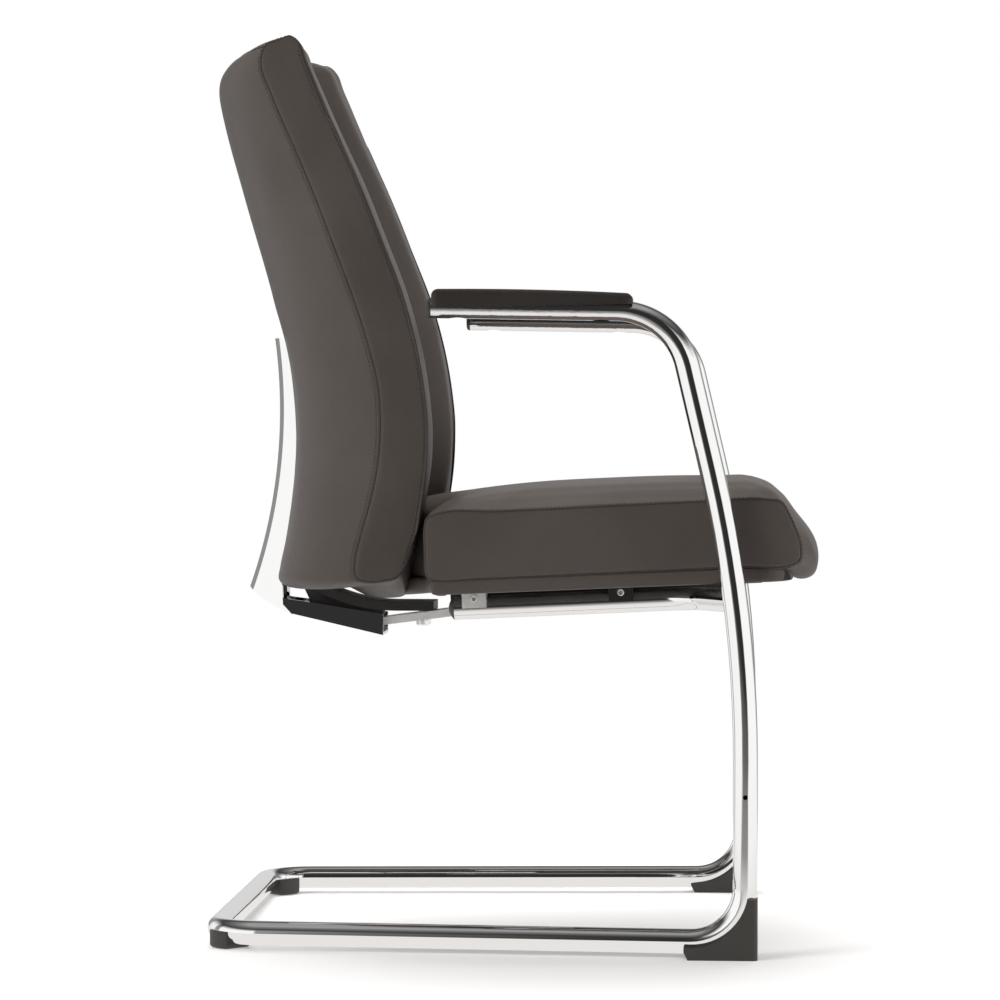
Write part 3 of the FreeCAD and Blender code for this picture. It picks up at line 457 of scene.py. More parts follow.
def normals(piece):
    """The directions in which a piece's points face."""
    flat = np.zeros(len(piece.data.vertices) * 3, np.float32)
    piece.data.vertex_normals.foreach_get("vector", flat)
    return flat.reshape(-1, 3)


def move_to(piece, places):
    """Gives a piece's points new places."""
    piece.data.vertices.foreach_set("co", np.ascontiguousarray(places, np.float32).ravel())
    piece.data.update()


def stuff(piece, held, pressure, most):
    """Swells a cushion with its held points pinned. No point moves more than the given distance."""
    rest = coordinates(piece)
    pins = piece.vertex_groups.new(name="sewn")
    pins.add([int(number) for number in held], 1.0, "REPLACE")
    cloth = piece.modifiers.new("stuffing", "CLOTH")
    cloth.settings.quality = 6
    cloth.settings.mass = 0.3
    cloth.settings.tension_stiffness = 12
    cloth.settings.compression_stiffness = 12
    cloth.settings.shear_stiffness = 6
    cloth.settings.bending_stiffness = 1.5
    cloth.settings.use_pressure = True
    cloth.settings.uniform_pressure_force = pressure
    cloth.settings.vertex_group_mass = pins.name
    cloth.settings.effector_weights.gravity = 0
    cloth.collision_settings.use_collision = False
    cloth.point_cache.frame_start = 1
    cloth.point_cache.frame_end = STUFFING_FRAMES
    for number in range(1, STUFFING_FRAMES + 1):
        bpy.context.scene.frame_set(number)
    shaped = piece.evaluated_get(bpy.context.evaluated_depsgraph_get())
    swollen = np.zeros(len(rest) * 3, np.float32)
    shaped.data.vertices.foreach_get("co", swollen)
    shift = swollen.reshape(-1, 3) - rest
    length = np.linalg.norm(shift, axis=1, keepdims=True)
    shift *= np.minimum(1, most / np.maximum(length, 1e-9))
    piece.modifiers.remove(cloth)
    piece.vertex_groups.remove(pins)
    bpy.context.scene.frame_set(1)
    move_to(piece, rest + shift)
    return float(np.linalg.norm(shift, axis=1).max())


def sink(piece, numbers, depth):
    """Pulls the seam's points into the cushion."""
    places = coordinates(piece)
    places[numbers] -= normals(piece)[numbers] * depth
    move_to(piece, places)


def subdivide_once(piece):
    """One level of subdivision, applied. The first points stay the first points."""
    rounder = piece.modifiers.new("rounder", "SUBSURF")
    rounder.levels = 1
    rounder.render_levels = 1
    bpy.context.view_layer.objects.active = piece
    bpy.ops.object.modifier_apply(modifier=rounder.name)
    piece.data.shade_smooth()


def dress(piece, finish):
    """Gives a finished piece its material and ties it to the chair."""
    piece.data.materials.clear()
    piece.data.materials.append(finish)
    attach(piece, "root")


print("stuffing helpers ready")

# %% [markdown]
# ## Stitches, and a sunken cord of painted seam shade
# The seam shows as a thin dark line, the shade deep in its groove, and a thin dark cord laid along
# the seam paints it. Beside it runs a row of top stitches. One stitch is modelled, a small rounded
# grain, and copied along the row. A curve with a round bevel could make the cord too, but here its
# points come straight from the seam.

# %% Dark seam cord of painted seam shade, and stitches
SEAT_SHADE_CORD = 1.5 * MM
BACK_SHADE_CORD = 1.3 * MM
CORD_SIDES = 6
STITCH_STEP = 4.2 * MM
STITCH_LONG = 3.0 * MM
STITCH_THICK = 0.8 * MM
STITCH_LIFT = 0.1


def new_mesh_piece(name, points, faces):
    """A smooth piece from points and faces."""
    mesh = bpy.data.meshes.new(name)
    mesh.from_pydata([tuple(point) for point in points], [], [tuple(face) for face in faces])
    piece = bpy.data.objects.new(name, mesh)
    bpy.context.scene.collection.objects.link(piece)
    mesh.shade_smooth()
    return piece


def even_steps(line, outward, step, closed):
    """Places, directions and normals at an even distance along a line of points."""
    if closed:
        line = np.concatenate([line, line[:1]])
        outward = np.concatenate([outward, outward[:1]])
    run = np.concatenate([[0], np.cumsum(np.linalg.norm(np.diff(line, axis=0), axis=1))])
    count = int(run[-1] / step)
    wanted = (np.arange(count) + 0.5) * run[-1] / count
    spot = np.stack([np.interp(wanted, run, line[:, axis]) for axis in range(3)], 1)
    ahead = np.stack([np.interp(wanted + step / 4, run, line[:, axis]) for axis in range(3)], 1) - spot
    up = np.stack([np.interp(wanted, run, outward[:, axis]) for axis in range(3)], 1)
    ahead /= np.maximum(np.linalg.norm(ahead, axis=1, keepdims=True), 1e-9)
    up -= ahead * (up * ahead).sum(1, keepdims=True)
    up /= np.linalg.norm(up, axis=1, keepdims=True)
    return spot, ahead, up


bpy.ops.object.select_all(action="DESELECT")
bpy.ops.mesh.primitive_uv_sphere_add(segments=6, ring_count=5, radius=1.0, rotation=(0, math.pi / 2, 0))
stitch_model = bpy.context.object
bpy.ops.object.transform_apply(location=False, rotation=True, scale=False)
STITCH_POINTS = coordinates(stitch_model).copy()
STITCH_FACES = [list(face.vertices) for face in stitch_model.data.polygons]
bpy.data.objects.remove(stitch_model)


def stitch_rows(name, rows):
    """Top stitches along rows of points that lie on the leather."""
    grain = STITCH_POINTS * (STITCH_LONG / 2, STITCH_THICK / 2, STITCH_THICK / 2)
    grain = grain + (0, 0, STITCH_THICK * STITCH_LIFT)
    points = []
    faces = []
    for line, outward, closed in rows:
        for spot, ahead, up in zip(*even_steps(line, outward, STITCH_STEP, closed)):
            side = np.cross(up, ahead)
            base = sum(len(block) for block in points)
            points.append(spot + grain[:, :1] * ahead + grain[:, 1:2] * side + grain[:, 2:] * up)
            faces.extend([[base + number for number in face] for face in STITCH_FACES])
    return new_mesh_piece(name, np.concatenate(points), faces)


def seam_shade_cord(name, lines, thick):
    """A thin dark cord along lines of points, closed or open, that paints the shade deep in a seam."""
    points = []
    faces = []
    for line, outward, closed in lines:
        base = sum(len(block) for block in points)
        ahead = np.gradient(line, axis=0)
        if closed:
            ahead = np.roll(line, -1, 0) - np.roll(line, 1, 0)
        ahead /= np.linalg.norm(ahead, axis=1, keepdims=True)
        side = np.cross(outward, ahead)
        side /= np.linalg.norm(side, axis=1, keepdims=True)
        up = np.cross(ahead, side)
        for number in range(CORD_SIDES):
            turn = 2 * math.pi * number / CORD_SIDES
            points.append(line + thick / 2 * (math.cos(turn) * side + math.sin(turn) * up))
        count = len(line)
        for number in range(CORD_SIDES):
            following = (number + 1) % CORD_SIDES
            for place in range(count if closed else count - 1):
                after = (place + 1) % count
                faces.append([base + number * count + place, base + number * count + after,
                              base + following * count + after, base + following * count + place])
        if not closed:
            for end in (0, count - 1):
                faces.append([base + number * count + end for number in range(CORD_SIDES)])
    return new_mesh_piece(name, np.concatenate(points), faces)


print("one stitch has", len(STITCH_FACES), "faces")

# %% [markdown]
# ## The seat cushion
# Seen from the side, the sewn-in panel is a long shape with rounded corners and a front edge that
# slopes forward. The wrap starts at that outline and rises to a crown in the middle, runs out to a
# nose in front, and behind it passes between the wings of the back. The seat tilts back a little, so
# it is drawn level and then turned.

# %% Seat outlines
SEAT_HALF = 250
SEAT_TILT = math.radians(2.44)
SEAT_Z = 366.1
SEAT_COUNTS = (18, 64, 18, 64)

# Each side starts at a corner: behind, top, front and underneath, as (along, up) in millimetres
SEAT_PANEL = [
    [(74.0, 14.5), (77.0, 22), (77.0, 45), (76.4, 68)],
    [(73.6, 77.6), (66, 80.6), (0, 81.6), (-58, 81.8), (-130, 82.6), (-203, 83), (-270, 82.4)],
    [(-285.5, 79.4), (-293, 66), (-299, 51), (-303.2, 34)],
    [(-300.5, 18.0), (-291, 14.0), (-247, 14.2), (-130, 13.6), (-58, 13), (30, 12.6), (66, 12.4)],
]
SEAT_MIDDLE = [
    [(136.5, 12.6), (139.5, 36), (136, 62)],
    [(124, 83.5), (104, 90.5), (46, 98), (-15, 102.8), (-100, 104.4), (-170, 103.9), (-226, 102.0),
     (-256, 101.2)],
    [(-272.5, 98), (-282, 88.5), (-299, 63), (-317.5, 36), (-324.5, 13.5)],
    [(-318.5, -2.5), (-305, -6.5), (-295.6, -1), (-294.2, 8), (-287, 12.2), (-200, 12), (0, 12),
     (100, 12)],
]
panel_ring = smooth_ring(SEAT_PANEL, SEAT_COUNTS)
middle_ring = smooth_ring(SEAT_MIDDLE, SEAT_COUNTS)
behind, above, before, below = SEAT_COUNTS
# How far each point of an outline belongs to the neck behind, from nought to one
fading = np.clip(1 - np.linspace(0, 2.5, above), 0, 1)
rearward = np.concatenate([
    np.ones(behind), fading ** 2 * (3 - 2 * fading), np.zeros(before),
    np.clip(np.linspace(-1.5, 1, below), 0, 1),
])
RIDGE = 0.05
SLOPE_STEEP = 5.6
TOP_EDGE = 0.72
TOP_SHARE = 0.87
NECK_SHARE = 0.75


def seat_row(across):
    """One outline of the wrap, at a place across the seat. A soft ridge parts its slope from its top."""
    share = min(1.0, abs(across) / SEAT_HALF)
    slope = SLOPE_STEEP * (1 - share)
    top = TOP_EDGE + (1 - TOP_EDGE) * (1 - (share / TOP_SHARE) ** 2)
    crown = -RIDGE * math.log(math.exp(-slope / RIDGE) + math.exp(-top / RIDGE))
    neck = (1 - min(1, share / NECK_SHARE) ** 2) ** 1.4
    along = rearward * neck + (1 - rearward) * crown
    y = panel_ring[:, 0] + (middle_ring[:, 0] - panel_ring[:, 0]) * along
    z = panel_ring[:, 1] + (middle_ring[:, 1] - panel_ring[:, 1]) * crown
    return np.stack([np.full(len(y), across), y, z], 1)


def seat_tilted(points):
    """From the level drawing to the chair, in metres."""
    y = points[..., 1] * math.cos(SEAT_TILT) + points[..., 2] * math.sin(SEAT_TILT)
    z = -points[..., 1] * math.sin(SEAT_TILT) + points[..., 2] * math.cos(SEAT_TILT) + SEAT_Z
    return np.stack([points[..., 0], y, z], -1) * MM


seat_rows = [seat_tilted(seat_row(across)) for across in places_across(SEAT_HALF, 13)]
print("seat:", len(seat_rows), "outlines of", len(panel_ring), "points")

# %% [markdown]
# ## Filling the seat
# The outlines become one mesh, the cloth swells it, and then the seams are drawn in. The underside
# lies on the board, so its points are pinned as well. One level of subdivision rounds the result.

# %% Sew and stuff the seat
SEAM_DEPTH = 2.0 * MM
seat_patches = [side_patch(seat_rows[end], SEAT_COUNTS) for end in (0, -1)]
seat_cushion = sew("seat_cushion_leather", seat_rows, seat_patches, SEAT_COUNTS)
around = len(panel_ring)
seat_last = (len(seat_rows) - 1) * around
seat_seams = [np.arange(around), seat_last + np.arange(around)]
lying = np.arange(behind + above + before, around)
under = np.concatenate([row * around + lying for row in range(len(seat_rows))])
swell = stuff(seat_cushion, np.concatenate(seat_seams + [under]), pressure=4.0, most=2.2 * MM)
sink(seat_cushion, np.concatenate(seat_seams), SEAM_DEPTH)
subdivide_once(seat_cushion)
dress(seat_cushion, leather)
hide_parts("seat_cushion")
print("seat swells by", round(swell / MM, 1), "mm,", len(seat_cushion.data.polygons), "faces")

# %% [markdown]
# ## The seams of the seat
# The seam is the outermost outline on each side, so its points are known by their numbers, and
# subdivision keeps those numbers. The dark cord that paints the seam's shade lies on them. The
# stitches follow the second outline of the wrap, a few millimetres from the seam.

# %% Seat seams
places, outward = coordinates(seat_cushion), normals(seat_cushion)
seat_lines = [(places[seam], outward[seam], True) for seam in seat_seams]
# A dark cord along each seam paints the shade in its groove.
seat_seam_shade = seam_shade_cord("seat_seam_shade_cord", seat_lines, SEAT_SHADE_CORD)
dress(seat_seam_shade, thread_and_seam_shade)
STITCH_ROW = 2
row_right = STITCH_ROW * around + np.arange(around)
row_left = seat_last - STITCH_ROW * around + np.arange(around)
seat_rows_sewn = [(places[row], outward[row], True) for row in (row_right, row_left)]
seat_stitches = stitch_rows("seat_stitches", seat_rows_sewn)
dress(seat_stitches, thread_and_seam_shade)
print("seat stitches:", len(seat_stitches.data.polygons) // len(STITCH_FACES))

# %% [markdown]
# ## The band round the seat board
# Below the side seam the leather runs on round the edge of the seat board and is stapled underneath.
# A band like this is a flat strip first: a grid gives the strip, its points are laid along the board's
# outline, and a Solidify modifier gives the leather its thickness. Behind, where the strip is tucked
# in last, it hangs a little lower.

# %% Seat band
BOARD_HALF, BOARD_FRONT, BOARD_SIDE = 246, -268, 70
NECK_HALF, NECK_Y, REAR_ARC = 172, 75, 255
arc_middle = NECK_Y - math.sqrt(REAR_ARC ** 2 - NECK_HALF ** 2)
arc_half = math.asin(NECK_HALF / REAR_ARC)
half_path = [(0, arc_middle + REAR_ARC)]
half_path += [(REAR_ARC * math.sin(turn), arc_middle + REAR_ARC * math.cos(turn))
              for turn in np.linspace(0, arc_half, 24)[1:-1]]
REAR_CORNER, FRONT_CORNER = 2.5, 24
turns = np.linspace(math.pi / 2, 0, 6)
shoulder = (NECK_Y - BOARD_SIDE) / (BOARD_HALF - NECK_HALF)
half_path += [(across, NECK_Y - shoulder * (across - NECK_HALF)) for across in (176, 196, 216, 234)]
half_path += [(BOARD_HALF + REAR_CORNER * (math.cos(turn) - 1),
               BOARD_SIDE + REAR_CORNER * (math.sin(turn) - 1)) for turn in turns]
half_path += [(BOARD_HALF, along) for along in np.linspace(BOARD_SIDE - 10, BOARD_FRONT + 6, 28)]
half_path += [(BOARD_HALF + FRONT_CORNER * (math.cos(turn) - 1),
               BOARD_FRONT - FRONT_CORNER * math.sin(turn)) for turn in turns[::-1]]
board_path = np.array([(-across, along) for across, along in half_path[:0:-1]] + half_path)
lean = np.gradient(board_path, axis=0)
board_out = np.stack([-lean[:, 1], lean[:, 0]], 1)
board_out /= np.linalg.norm(board_out, axis=1, keepdims=True)
hang = np.clip((board_path[:, 1] - NECK_Y) / 60, 0, 1)
HANG = 5.5
# The band's section as (out from the board, up, share of the hang)
BAND = [(-1.0, 14.4, 0), (1.7, 13.6, 0), (2.8, 11, 0), (3.0, 7, 0), (2.8, 3, 0.3), (2.0, 0.2, 0.8),
        (-0.5, -1.2, 1), (-6, -1.6, 1), (-14, -1.6, 1)]
bpy.ops.object.select_all(action="DESELECT")
bpy.ops.mesh.primitive_grid_add(x_subdivisions=len(board_path) - 1, y_subdivisions=len(BAND) - 1)
seat_band = bpy.context.object
seat_band.name = "seat_band"
strip = []
for out, high, low in BAND:
    level = high - HANG * low * hang
    strip.append(np.stack([*(board_path + board_out * out).T, level], 1))
move_to(seat_band, seat_tilted(np.concatenate(strip)))
face_outward()
hide_thick = seat_band.modifiers.new("hide_thick", "SOLIDIFY")
hide_thick.thickness = 1.0 * MM
hide_thick.offset = -1
bpy.ops.object.modifier_apply(modifier=hide_thick.name)
subdivide_once(seat_band)
dress(seat_band, leather)
print("band:", len(seat_band.data.polygons), "faces")

# %% [markdown]
# ## Aprons under the seat
# Dark strips stand under the board beside the rails, and from the side they close the view under the
# cushion. Each is a long thin cube with its edges bevelled, tilted with the seat.

# %% Aprons under the seat
APRON_SIZE = (3.4, 292, 11.4)
APRON_OUT, APRON_ALONG, APRON_UP = 151, -86, -6.4
aprons = []
for side in (-1, 1):
    bpy.ops.object.select_all(action="DESELECT")
    bpy.ops.mesh.primitive_cube_add(size=1)
    apron = bpy.context.object
    apron.name = f"seat_apron_{'right' if side < 0 else 'left'}"
    box = coordinates(apron) * APRON_SIZE + (side * APRON_OUT, APRON_ALONG, APRON_UP)
    move_to(apron, seat_tilted(box))
    edges = apron.modifiers.new("edges", "BEVEL")
    edges.width = 1.0 * MM
    edges.segments = 2
    bpy.ops.object.modifier_apply(modifier=edges.name)
    dress(apron, black_plastic)
    aprons.append(apron)
print("aprons:", [apron.name for apron in aprons])

# %% [markdown]
# ## Screws in the saddles
# A round-headed screw with a socket holds each saddle to the seat board. One is modelled from a
# cylinder, with a bevelled rim and a socket made by an inset and an extrusion, and then copied.

# %% Saddle screws
HEAD_RADIUS, HEAD_DEEP, HEAD_UP = 3.6 * MM, 2.6 * MM, 0.9 * MM
HEAD_ROUND, SOCKET_RIM, SOCKET_DEEP = 0.8 * MM, 0.9 * MM, 1.4 * MM
FACING_UP = 0.9


def edit_top(piece, above=-1.0):
    """Selects a piece's faces that look up and lie above a height, and enters edit mode."""
    bpy.ops.object.mode_set(mode="EDIT")
    bpy.ops.mesh.select_all(action="DESELECT")
    bpy.ops.object.mode_set(mode="OBJECT")
    for face in piece.data.polygons:
        face.select = face.normal.z > FACING_UP and face.center.z > above
    bpy.ops.object.mode_set(mode="EDIT")


bpy.ops.object.select_all(action="DESELECT")
bpy.ops.mesh.primitive_cylinder_add(
    vertices=24, radius=HEAD_RADIUS, depth=HEAD_DEEP, location=(0, 0, HEAD_UP))
screw_model = bpy.context.object
bpy.ops.object.transform_apply(location=True, rotation=False, scale=False)
edit_top(screw_model)
bpy.ops.mesh.bevel(offset=HEAD_ROUND, segments=3)
bpy.ops.object.mode_set(mode="OBJECT")
edit_top(screw_model, above=2.1 * MM)
bpy.ops.mesh.inset(thickness=SOCKET_RIM)
bpy.ops.mesh.extrude_region_move(TRANSFORM_OT_translate={"value": (0, 0, -SOCKET_DEEP)})
bpy.ops.object.mode_set(mode="OBJECT")
SCREW_POINTS = coordinates(screw_model).copy()
screws = []
for side, way in (("right", -1), ("left", 1)):
    for place in ("rear", "front"):
        low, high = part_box(f"rail_saddle_{place}_{side}")
        middle = [(low[axis] + high[axis]) / 2 for axis in range(3)]
        face_x = low[0] if way < 0 else high[0]
        screw = bpy.data.objects.new(f"saddle_screw_{place}_{side}", screw_model.data.copy())
        bpy.context.scene.collection.objects.link(screw)
        x, y, z = SCREW_POINTS.T
        turned = np.stack([way * z, y, -way * x], 1)
        move_to(screw, turned + (face_x, middle[1], middle[2] + 1 * MM))
        screw.data.shade_smooth()
        dress(screw, zinc)
        screws.append(screw)
bpy.data.objects.remove(screw_model)
print("screws:", [screw.name for screw in screws])

# %% [markdown]
# ## The shoe of the bar
# Where the bar bends upward, a black shoe fills the corner between it and the polished cover. A grid
# of two rows takes the shoe's lower and upper outline, Solidify gives it width, and a bevel rounds it.

# %% Shoe between the bar and the cover
SHOE_WIDE = 30 * MM
SHOE_LOW = [(230, 364.5), (226, 355), (222, 346.5), (219, 339.5), (203, 336), (183, 333), (162, 330.5),
            (143, 328.5)]
SHOE_HIGH = [(213, 366), (208, 356), (203, 351.5), (197, 349.5), (190, 347.5), (180, 346), (160, 343),
             (142, 340)]
bpy.ops.object.select_all(action="DESELECT")
bpy.ops.mesh.primitive_grid_add(x_subdivisions=len(SHOE_LOW) - 1, y_subdivisions=1)
bar_shoe = bpy.context.object
bar_shoe.name = "bar_shoe"
move_to(bar_shoe, np.array([(0, along, up) for along, up in SHOE_LOW + SHOE_HIGH]) * MM)
shoe_thick = bar_shoe.modifiers.new("shoe_thick", "SOLIDIFY")
shoe_thick.thickness = SHOE_WIDE
shoe_thick.offset = 0
shoe_edges = bar_shoe.modifiers.new("shoe_edges", "BEVEL")
shoe_edges.width = 1.2 * MM
shoe_edges.segments = 2
for step in (shoe_thick, shoe_edges):
    bpy.ops.object.modifier_apply(modifier=step.name)
bpy.ops.object.shade_smooth_by_angle(angle=math.radians(30))
dress(bar_shoe, black_plastic)
print("bar shoe:", len(bar_shoe.data.polygons), "faces")

# %% [markdown]
# ## The back cushion
# The back is sewn the same way, turned on end. Its side panel is the tall S-shaped strip that shows
# between two seams. In front the wrap dips into a hollow between two wings, and behind it swells into
# a round back. At the top and bottom the whole cushion narrows a little.

# %% Back outlines
BACK_HALF = 189.5
BACK_COUNTS = (84, 10, 84, 10)

# Each side starts at a corner: front going up, top, behind going down and underneath, as (along, up)
BACK_PANEL = [
    [(108, 379.5), (97.5, 402), (88, 449), (82.6, 490), (81, 529), (85, 573), (106.5, 667), (129.5, 728),
     (153.5, 788), (176.5, 838), (197, 885), (207.5, 910)],
    [(215.5, 931.5), (222.5, 935.5), (234, 931)],
    [(249, 924.5), (253.3, 911.3), (240.5, 869), (220, 822), (199, 773), (177, 716), (157, 663),
     (142, 616), (131.6, 573), (129.4, 538), (131.6, 498), (140, 456), (151, 417.5), (156, 396)],
    [(154.5, 376.5), (146, 372.3), (127, 373)],
]
BACK_MIDDLE = [
    [(150, 347.5), (151, 360), (154, 378), (157, 396), (156.5, 420), (154, 455), (150, 500), (149, 545),
     (152, 600), (164, 663), (184, 722), (206, 776), (228, 828), (245, 868), (255, 900)],
    [(263.5, 927), (270, 932.4), (281, 931)],
    [(295.5, 921.5), (307.5, 912.5), (316, 901), (318, 888), (316.3, 874), (312.5, 856), (291, 776),
     (259.5, 665), (244.5, 598), (238.5, 545), (238, 510), (242.3, 455), (249, 410), (255, 382)],
    [(257.5, 366.3), (250, 361.2), (238, 361.5), (205, 366), (180, 358.5), (163, 349)],
]
back_panel_ring = smooth_ring(BACK_PANEL, BACK_COUNTS)
back_middle_ring = smooth_ring(BACK_MIDDLE, BACK_COUNTS)
rise, top, fall, bottom = BACK_COUNTS
# How far each point of an outline belongs to the rear, from nought to one
behindness = np.concatenate([
    np.zeros(rise), np.linspace(0, 1, top, endpoint=False),
    np.ones(fall), np.linspace(1, 0, bottom, endpoint=False),
])
# In front, a wing is flat from the seam to the hollow
in_front = np.concatenate([np.sin(np.linspace(0, math.pi, rise)) ** 0.4, np.zeros(top + fall + bottom)])
# The top of the wrap stands a little above the seam
crest = np.concatenate([
    np.zeros(rise), np.sin(np.linspace(0, math.pi, top, endpoint=False)), np.zeros(fall + bottom),
])
WING = 118
ROUND = 1.217
COVER_HALF = 47
COVER_TOP = 660
COVER_EASE = 60
CREST = 3.0
# How much the cushion draws in on each side, as (height, draw)
NARROWING = [(366, 5), (374, 2), (404, 1), (455, 0), (663, 0), (776, 1.5), (856, 3), (896, 4.5), (922, 7),
             (934, 11)]


def swelling_at(share):
    """How far the rear swells, from one in the middle to nought at the seam."""
    flat = math.sqrt(ROUND ** 2 - 1)
    return (math.sqrt(ROUND ** 2 - share ** 2) - flat) / (ROUND - flat)


def back_row(across):
    """One outline of the wrap, at a place across the back."""
    share = min(1.0, abs(across) / BACK_HALF)
    hollow = max(0.0, 1 - (across / WING) ** 2) ** 1.3
    swelling = swelling_at(share)
    behind_cover = swelling_at(COVER_HALF / BACK_HALF)
    level = 1 - share ** 4
    covered = np.clip((COVER_TOP - back_middle_ring[:, 1]) / COVER_EASE, 0, 1)
    rounded = swelling - covered * max(0.0, swelling - behind_cover)
    along = (1 - behindness) * hollow + behindness * rounded
    y = back_panel_ring[:, 0] + (back_middle_ring[:, 0] - back_panel_ring[:, 0]) * along
    upward = level + (hollow - level) * in_front
    z = back_panel_ring[:, 1] + (back_middle_ring[:, 1] - back_panel_ring[:, 1]) * upward
    z = z + CREST * crest * (1 - share ** 16)
    x = across * (1 - np.interp(z, *zip(*NARROWING)) / BACK_HALF)
    return np.stack([x, y, z], 1) * MM


back_rows = [back_row(across) for across in places_across(BACK_HALF, 11)]
print("back:", len(back_rows), "outlines of", len(back_panel_ring), "points")

# %% [markdown]
# ## Filling the back
# The same steps as for the seat. A seam also crosses behind the top of the back, where the piece over
# the top meets the rear piece, so its points are held and drawn in too, a little less deep.

# %% Sew and stuff the back
CROSS_DEPTH = 1.4 * MM
back_patches = [side_patch(back_rows[end], BACK_COUNTS) for end in (0, -1)]
back_cushion = sew("back_cushion_leather", back_rows, back_patches, BACK_COUNTS)
around = len(back_panel_ring)
back_last = (len(back_rows) - 1) * around
back_seams = [np.arange(around), back_last + np.arange(around)]
cross_seam = np.arange(len(back_rows)) * around + rise + top
swell = stuff(back_cushion, np.concatenate([*back_seams, cross_seam]), pressure=3.0, most=2.0 * MM)
sink(back_cushion, np.concatenate(back_seams), SEAM_DEPTH)
sink(back_cushion, cross_seam[1:-1], CROSS_DEPTH)
subdivide_once(back_cushion)
dress(back_cushion, leather)
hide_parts("back_cushion", "back_rear_panel")
print("back swells by", round(swell / MM, 1), "mm,", len(back_cushion.data.polygons), "faces")

# %% [markdown]
# ## The seams of the back
# Behind, over the top and below, the stitches run on the wrap. In front they run on the side panel,
# just behind the seam. The panel has no outline there, so each place is dropped onto the leather.

# %% Back seams
PANEL_STITCH = 3.6 * MM
places, outward = coordinates(back_cushion), normals(back_cushion)
back_lines = [(places[seam], outward[seam], True) for seam in back_seams]
back_lines.append((places[cross_seam], outward[cross_seam], False))
# A dark cord along each seam paints the shade in its groove.
back_seam_shade = seam_shade_cord("back_seam_shade_cord", back_lines, BACK_SHADE_CORD)
dress(back_seam_shade, thread_and_seam_shade)
wrap_part = np.arange(rise + 2, around - 1)
row_right = STITCH_ROW * around + wrap_part
row_left = back_last - STITCH_ROW * around + wrap_part
back_rows_sewn = [(places[row], outward[row], False) for row in (row_right, row_left)]
for seam in back_seams:
    beside = places[seam[2:rise - 1]] + (0, PANEL_STITCH, 0)
    dropped = [back_cushion.closest_point_on_mesh(Vector(place))[1:3] for place in beside]
    spots, ups = (np.array(part) for part in zip(*dropped))
    back_rows_sewn.append((spots, ups, False))
back_stitches = stitch_rows("back_stitches", back_rows_sewn)
dress(back_stitches, thread_and_seam_shade)
print("back stitches:", len(back_stitches.data.polygons) // len(STITCH_FACES))

# %% [markdown]
# ## What the chrome sees
# Chrome shows the room, and in an all-white room it would vanish. So mirror rays meet a wall that is
# white except for dark bands: a broad one behind the photographer and narrow ones to the sides, which
# draw the tube's edges. Real studios hang black cards for this. Here two tables of grey levels do it.

# %% What the chrome sees
# Grey levels as (degrees, level): the wall by bearing, the ceiling by height
WALL = [
    (-180, 0.7), (-166, 0.68), (-156, 0.22), (-140, 0.22), (-128, 0.5), (-114, 1.0), (-34, 1.0),
    (-27, 0.025), (12, 0.03), (18, 0.16), (21, 0.5), (24, 1.0), (97, 1.0), (102, 0.28), (112, 0.28),
    (117, 0.95), (136, 0.9), (146, 0.3), (156, 0.3), (166, 0.68), (180, 0.7),
]
CEILING = [
    (0, 0.02), (25, 0.02), (34, 0.04), (42, 0.08), (51, 0.14), (60, 0.22), (70, 0.36), (78, 0.3),
    (84, 0.05), (90, 0.07),
]
CEILING_FROM, CEILING_TO = 16, 38


def grey_ramp(factor, levels, full):
    """Grey levels at angles, on a ramp that runs over a full angle centred on nought."""
    stops = [(angle / full + 0.5, (level, level, level, 1)) for angle, level in levels]
    return Wire.add(factor.tree, "ShaderNodeValToRGB", {"stops": stops}, {"Fac": factor})


def axes_of(vector):
    """The three parts of a vector."""
    tree = vector.tree
    return [Wire.add(tree, "ShaderNodeSeparateXYZ", None, {0: vector}, output=axis) for axis in "XYZ"]


def wall_toward(vector):
    """The grey of the studio wall in the direction of a vector, nought being behind the photographer."""
    x, y, z = axes_of(vector)
    bearing = y.sum_with("ARCTAN2", y, 0 - x) * (0.5 / math.pi) + 0.5
    return grey_ramp(bearing, WALL, 360)


def blended(factor, first, second):
    """A colour between two colours."""
    values = {"Factor": factor, "A": first, "B": second}
    return Wire.add(factor.tree, "ShaderNodeMix", {"data_type": "RGBA"}, values, output=2)


WHITE = (1, 1, 1, 1)
# The paper's own pale tint, darkened with painted shade: mirror rays see the floor near the chair in this
# colour, standing in for the chair's shadow on it.
SHADED_PAPER = (0.84, 0.82, 0.805, 1)
print("studio wall has", len(WALL), "stops")

# %% [markdown]
# ## The studio floor
# The chair stands on a plain pale floor. Close to the chair the floor keeps its shadow, and further
# out it fades into the white of the studio. Mirror rays see the paper near the chair in its own pale
# tint darkened with painted shade of that shadow, and the studio wall further out, so the chrome has
# no hard horizon.

# %% Studio floor
bpy.ops.object.select_all(action="DESELECT")
bpy.ops.mesh.primitive_plane_add(size=60, location=(0, 0, 0))
floor = bpy.context.object
floor.name = "studio_floor"
paper = bpy.data.materials.new("studio_paper")
paper.use_nodes = True
tree = paper.node_tree
tree.nodes.clear()
rays = tree.nodes.new("ShaderNodeLightPath")
looked_at = Wire(rays.outputs["Is Camera Ray"])
mirrored = Wire(rays.outputs["Is Glossy Ray"]).above(Wire(rays.outputs["Is Transmission Ray"]))
spot = Wire.add(tree, "ShaderNodeTexCoord", output="Object")
far = Wire.add(tree, "ShaderNodeVectorMath", {"operation": "LENGTH"}, {0: spot}, output="Value")
whitening = {"Value": far, "From Min": 0.3, "From Max": 1.3, "To Min": 0.22, "To Max": 1.0}
fade = Wire.add(tree, "ShaderNodeMapRange", {"interpolation_type": "SMOOTHSTEP"}, whitening)
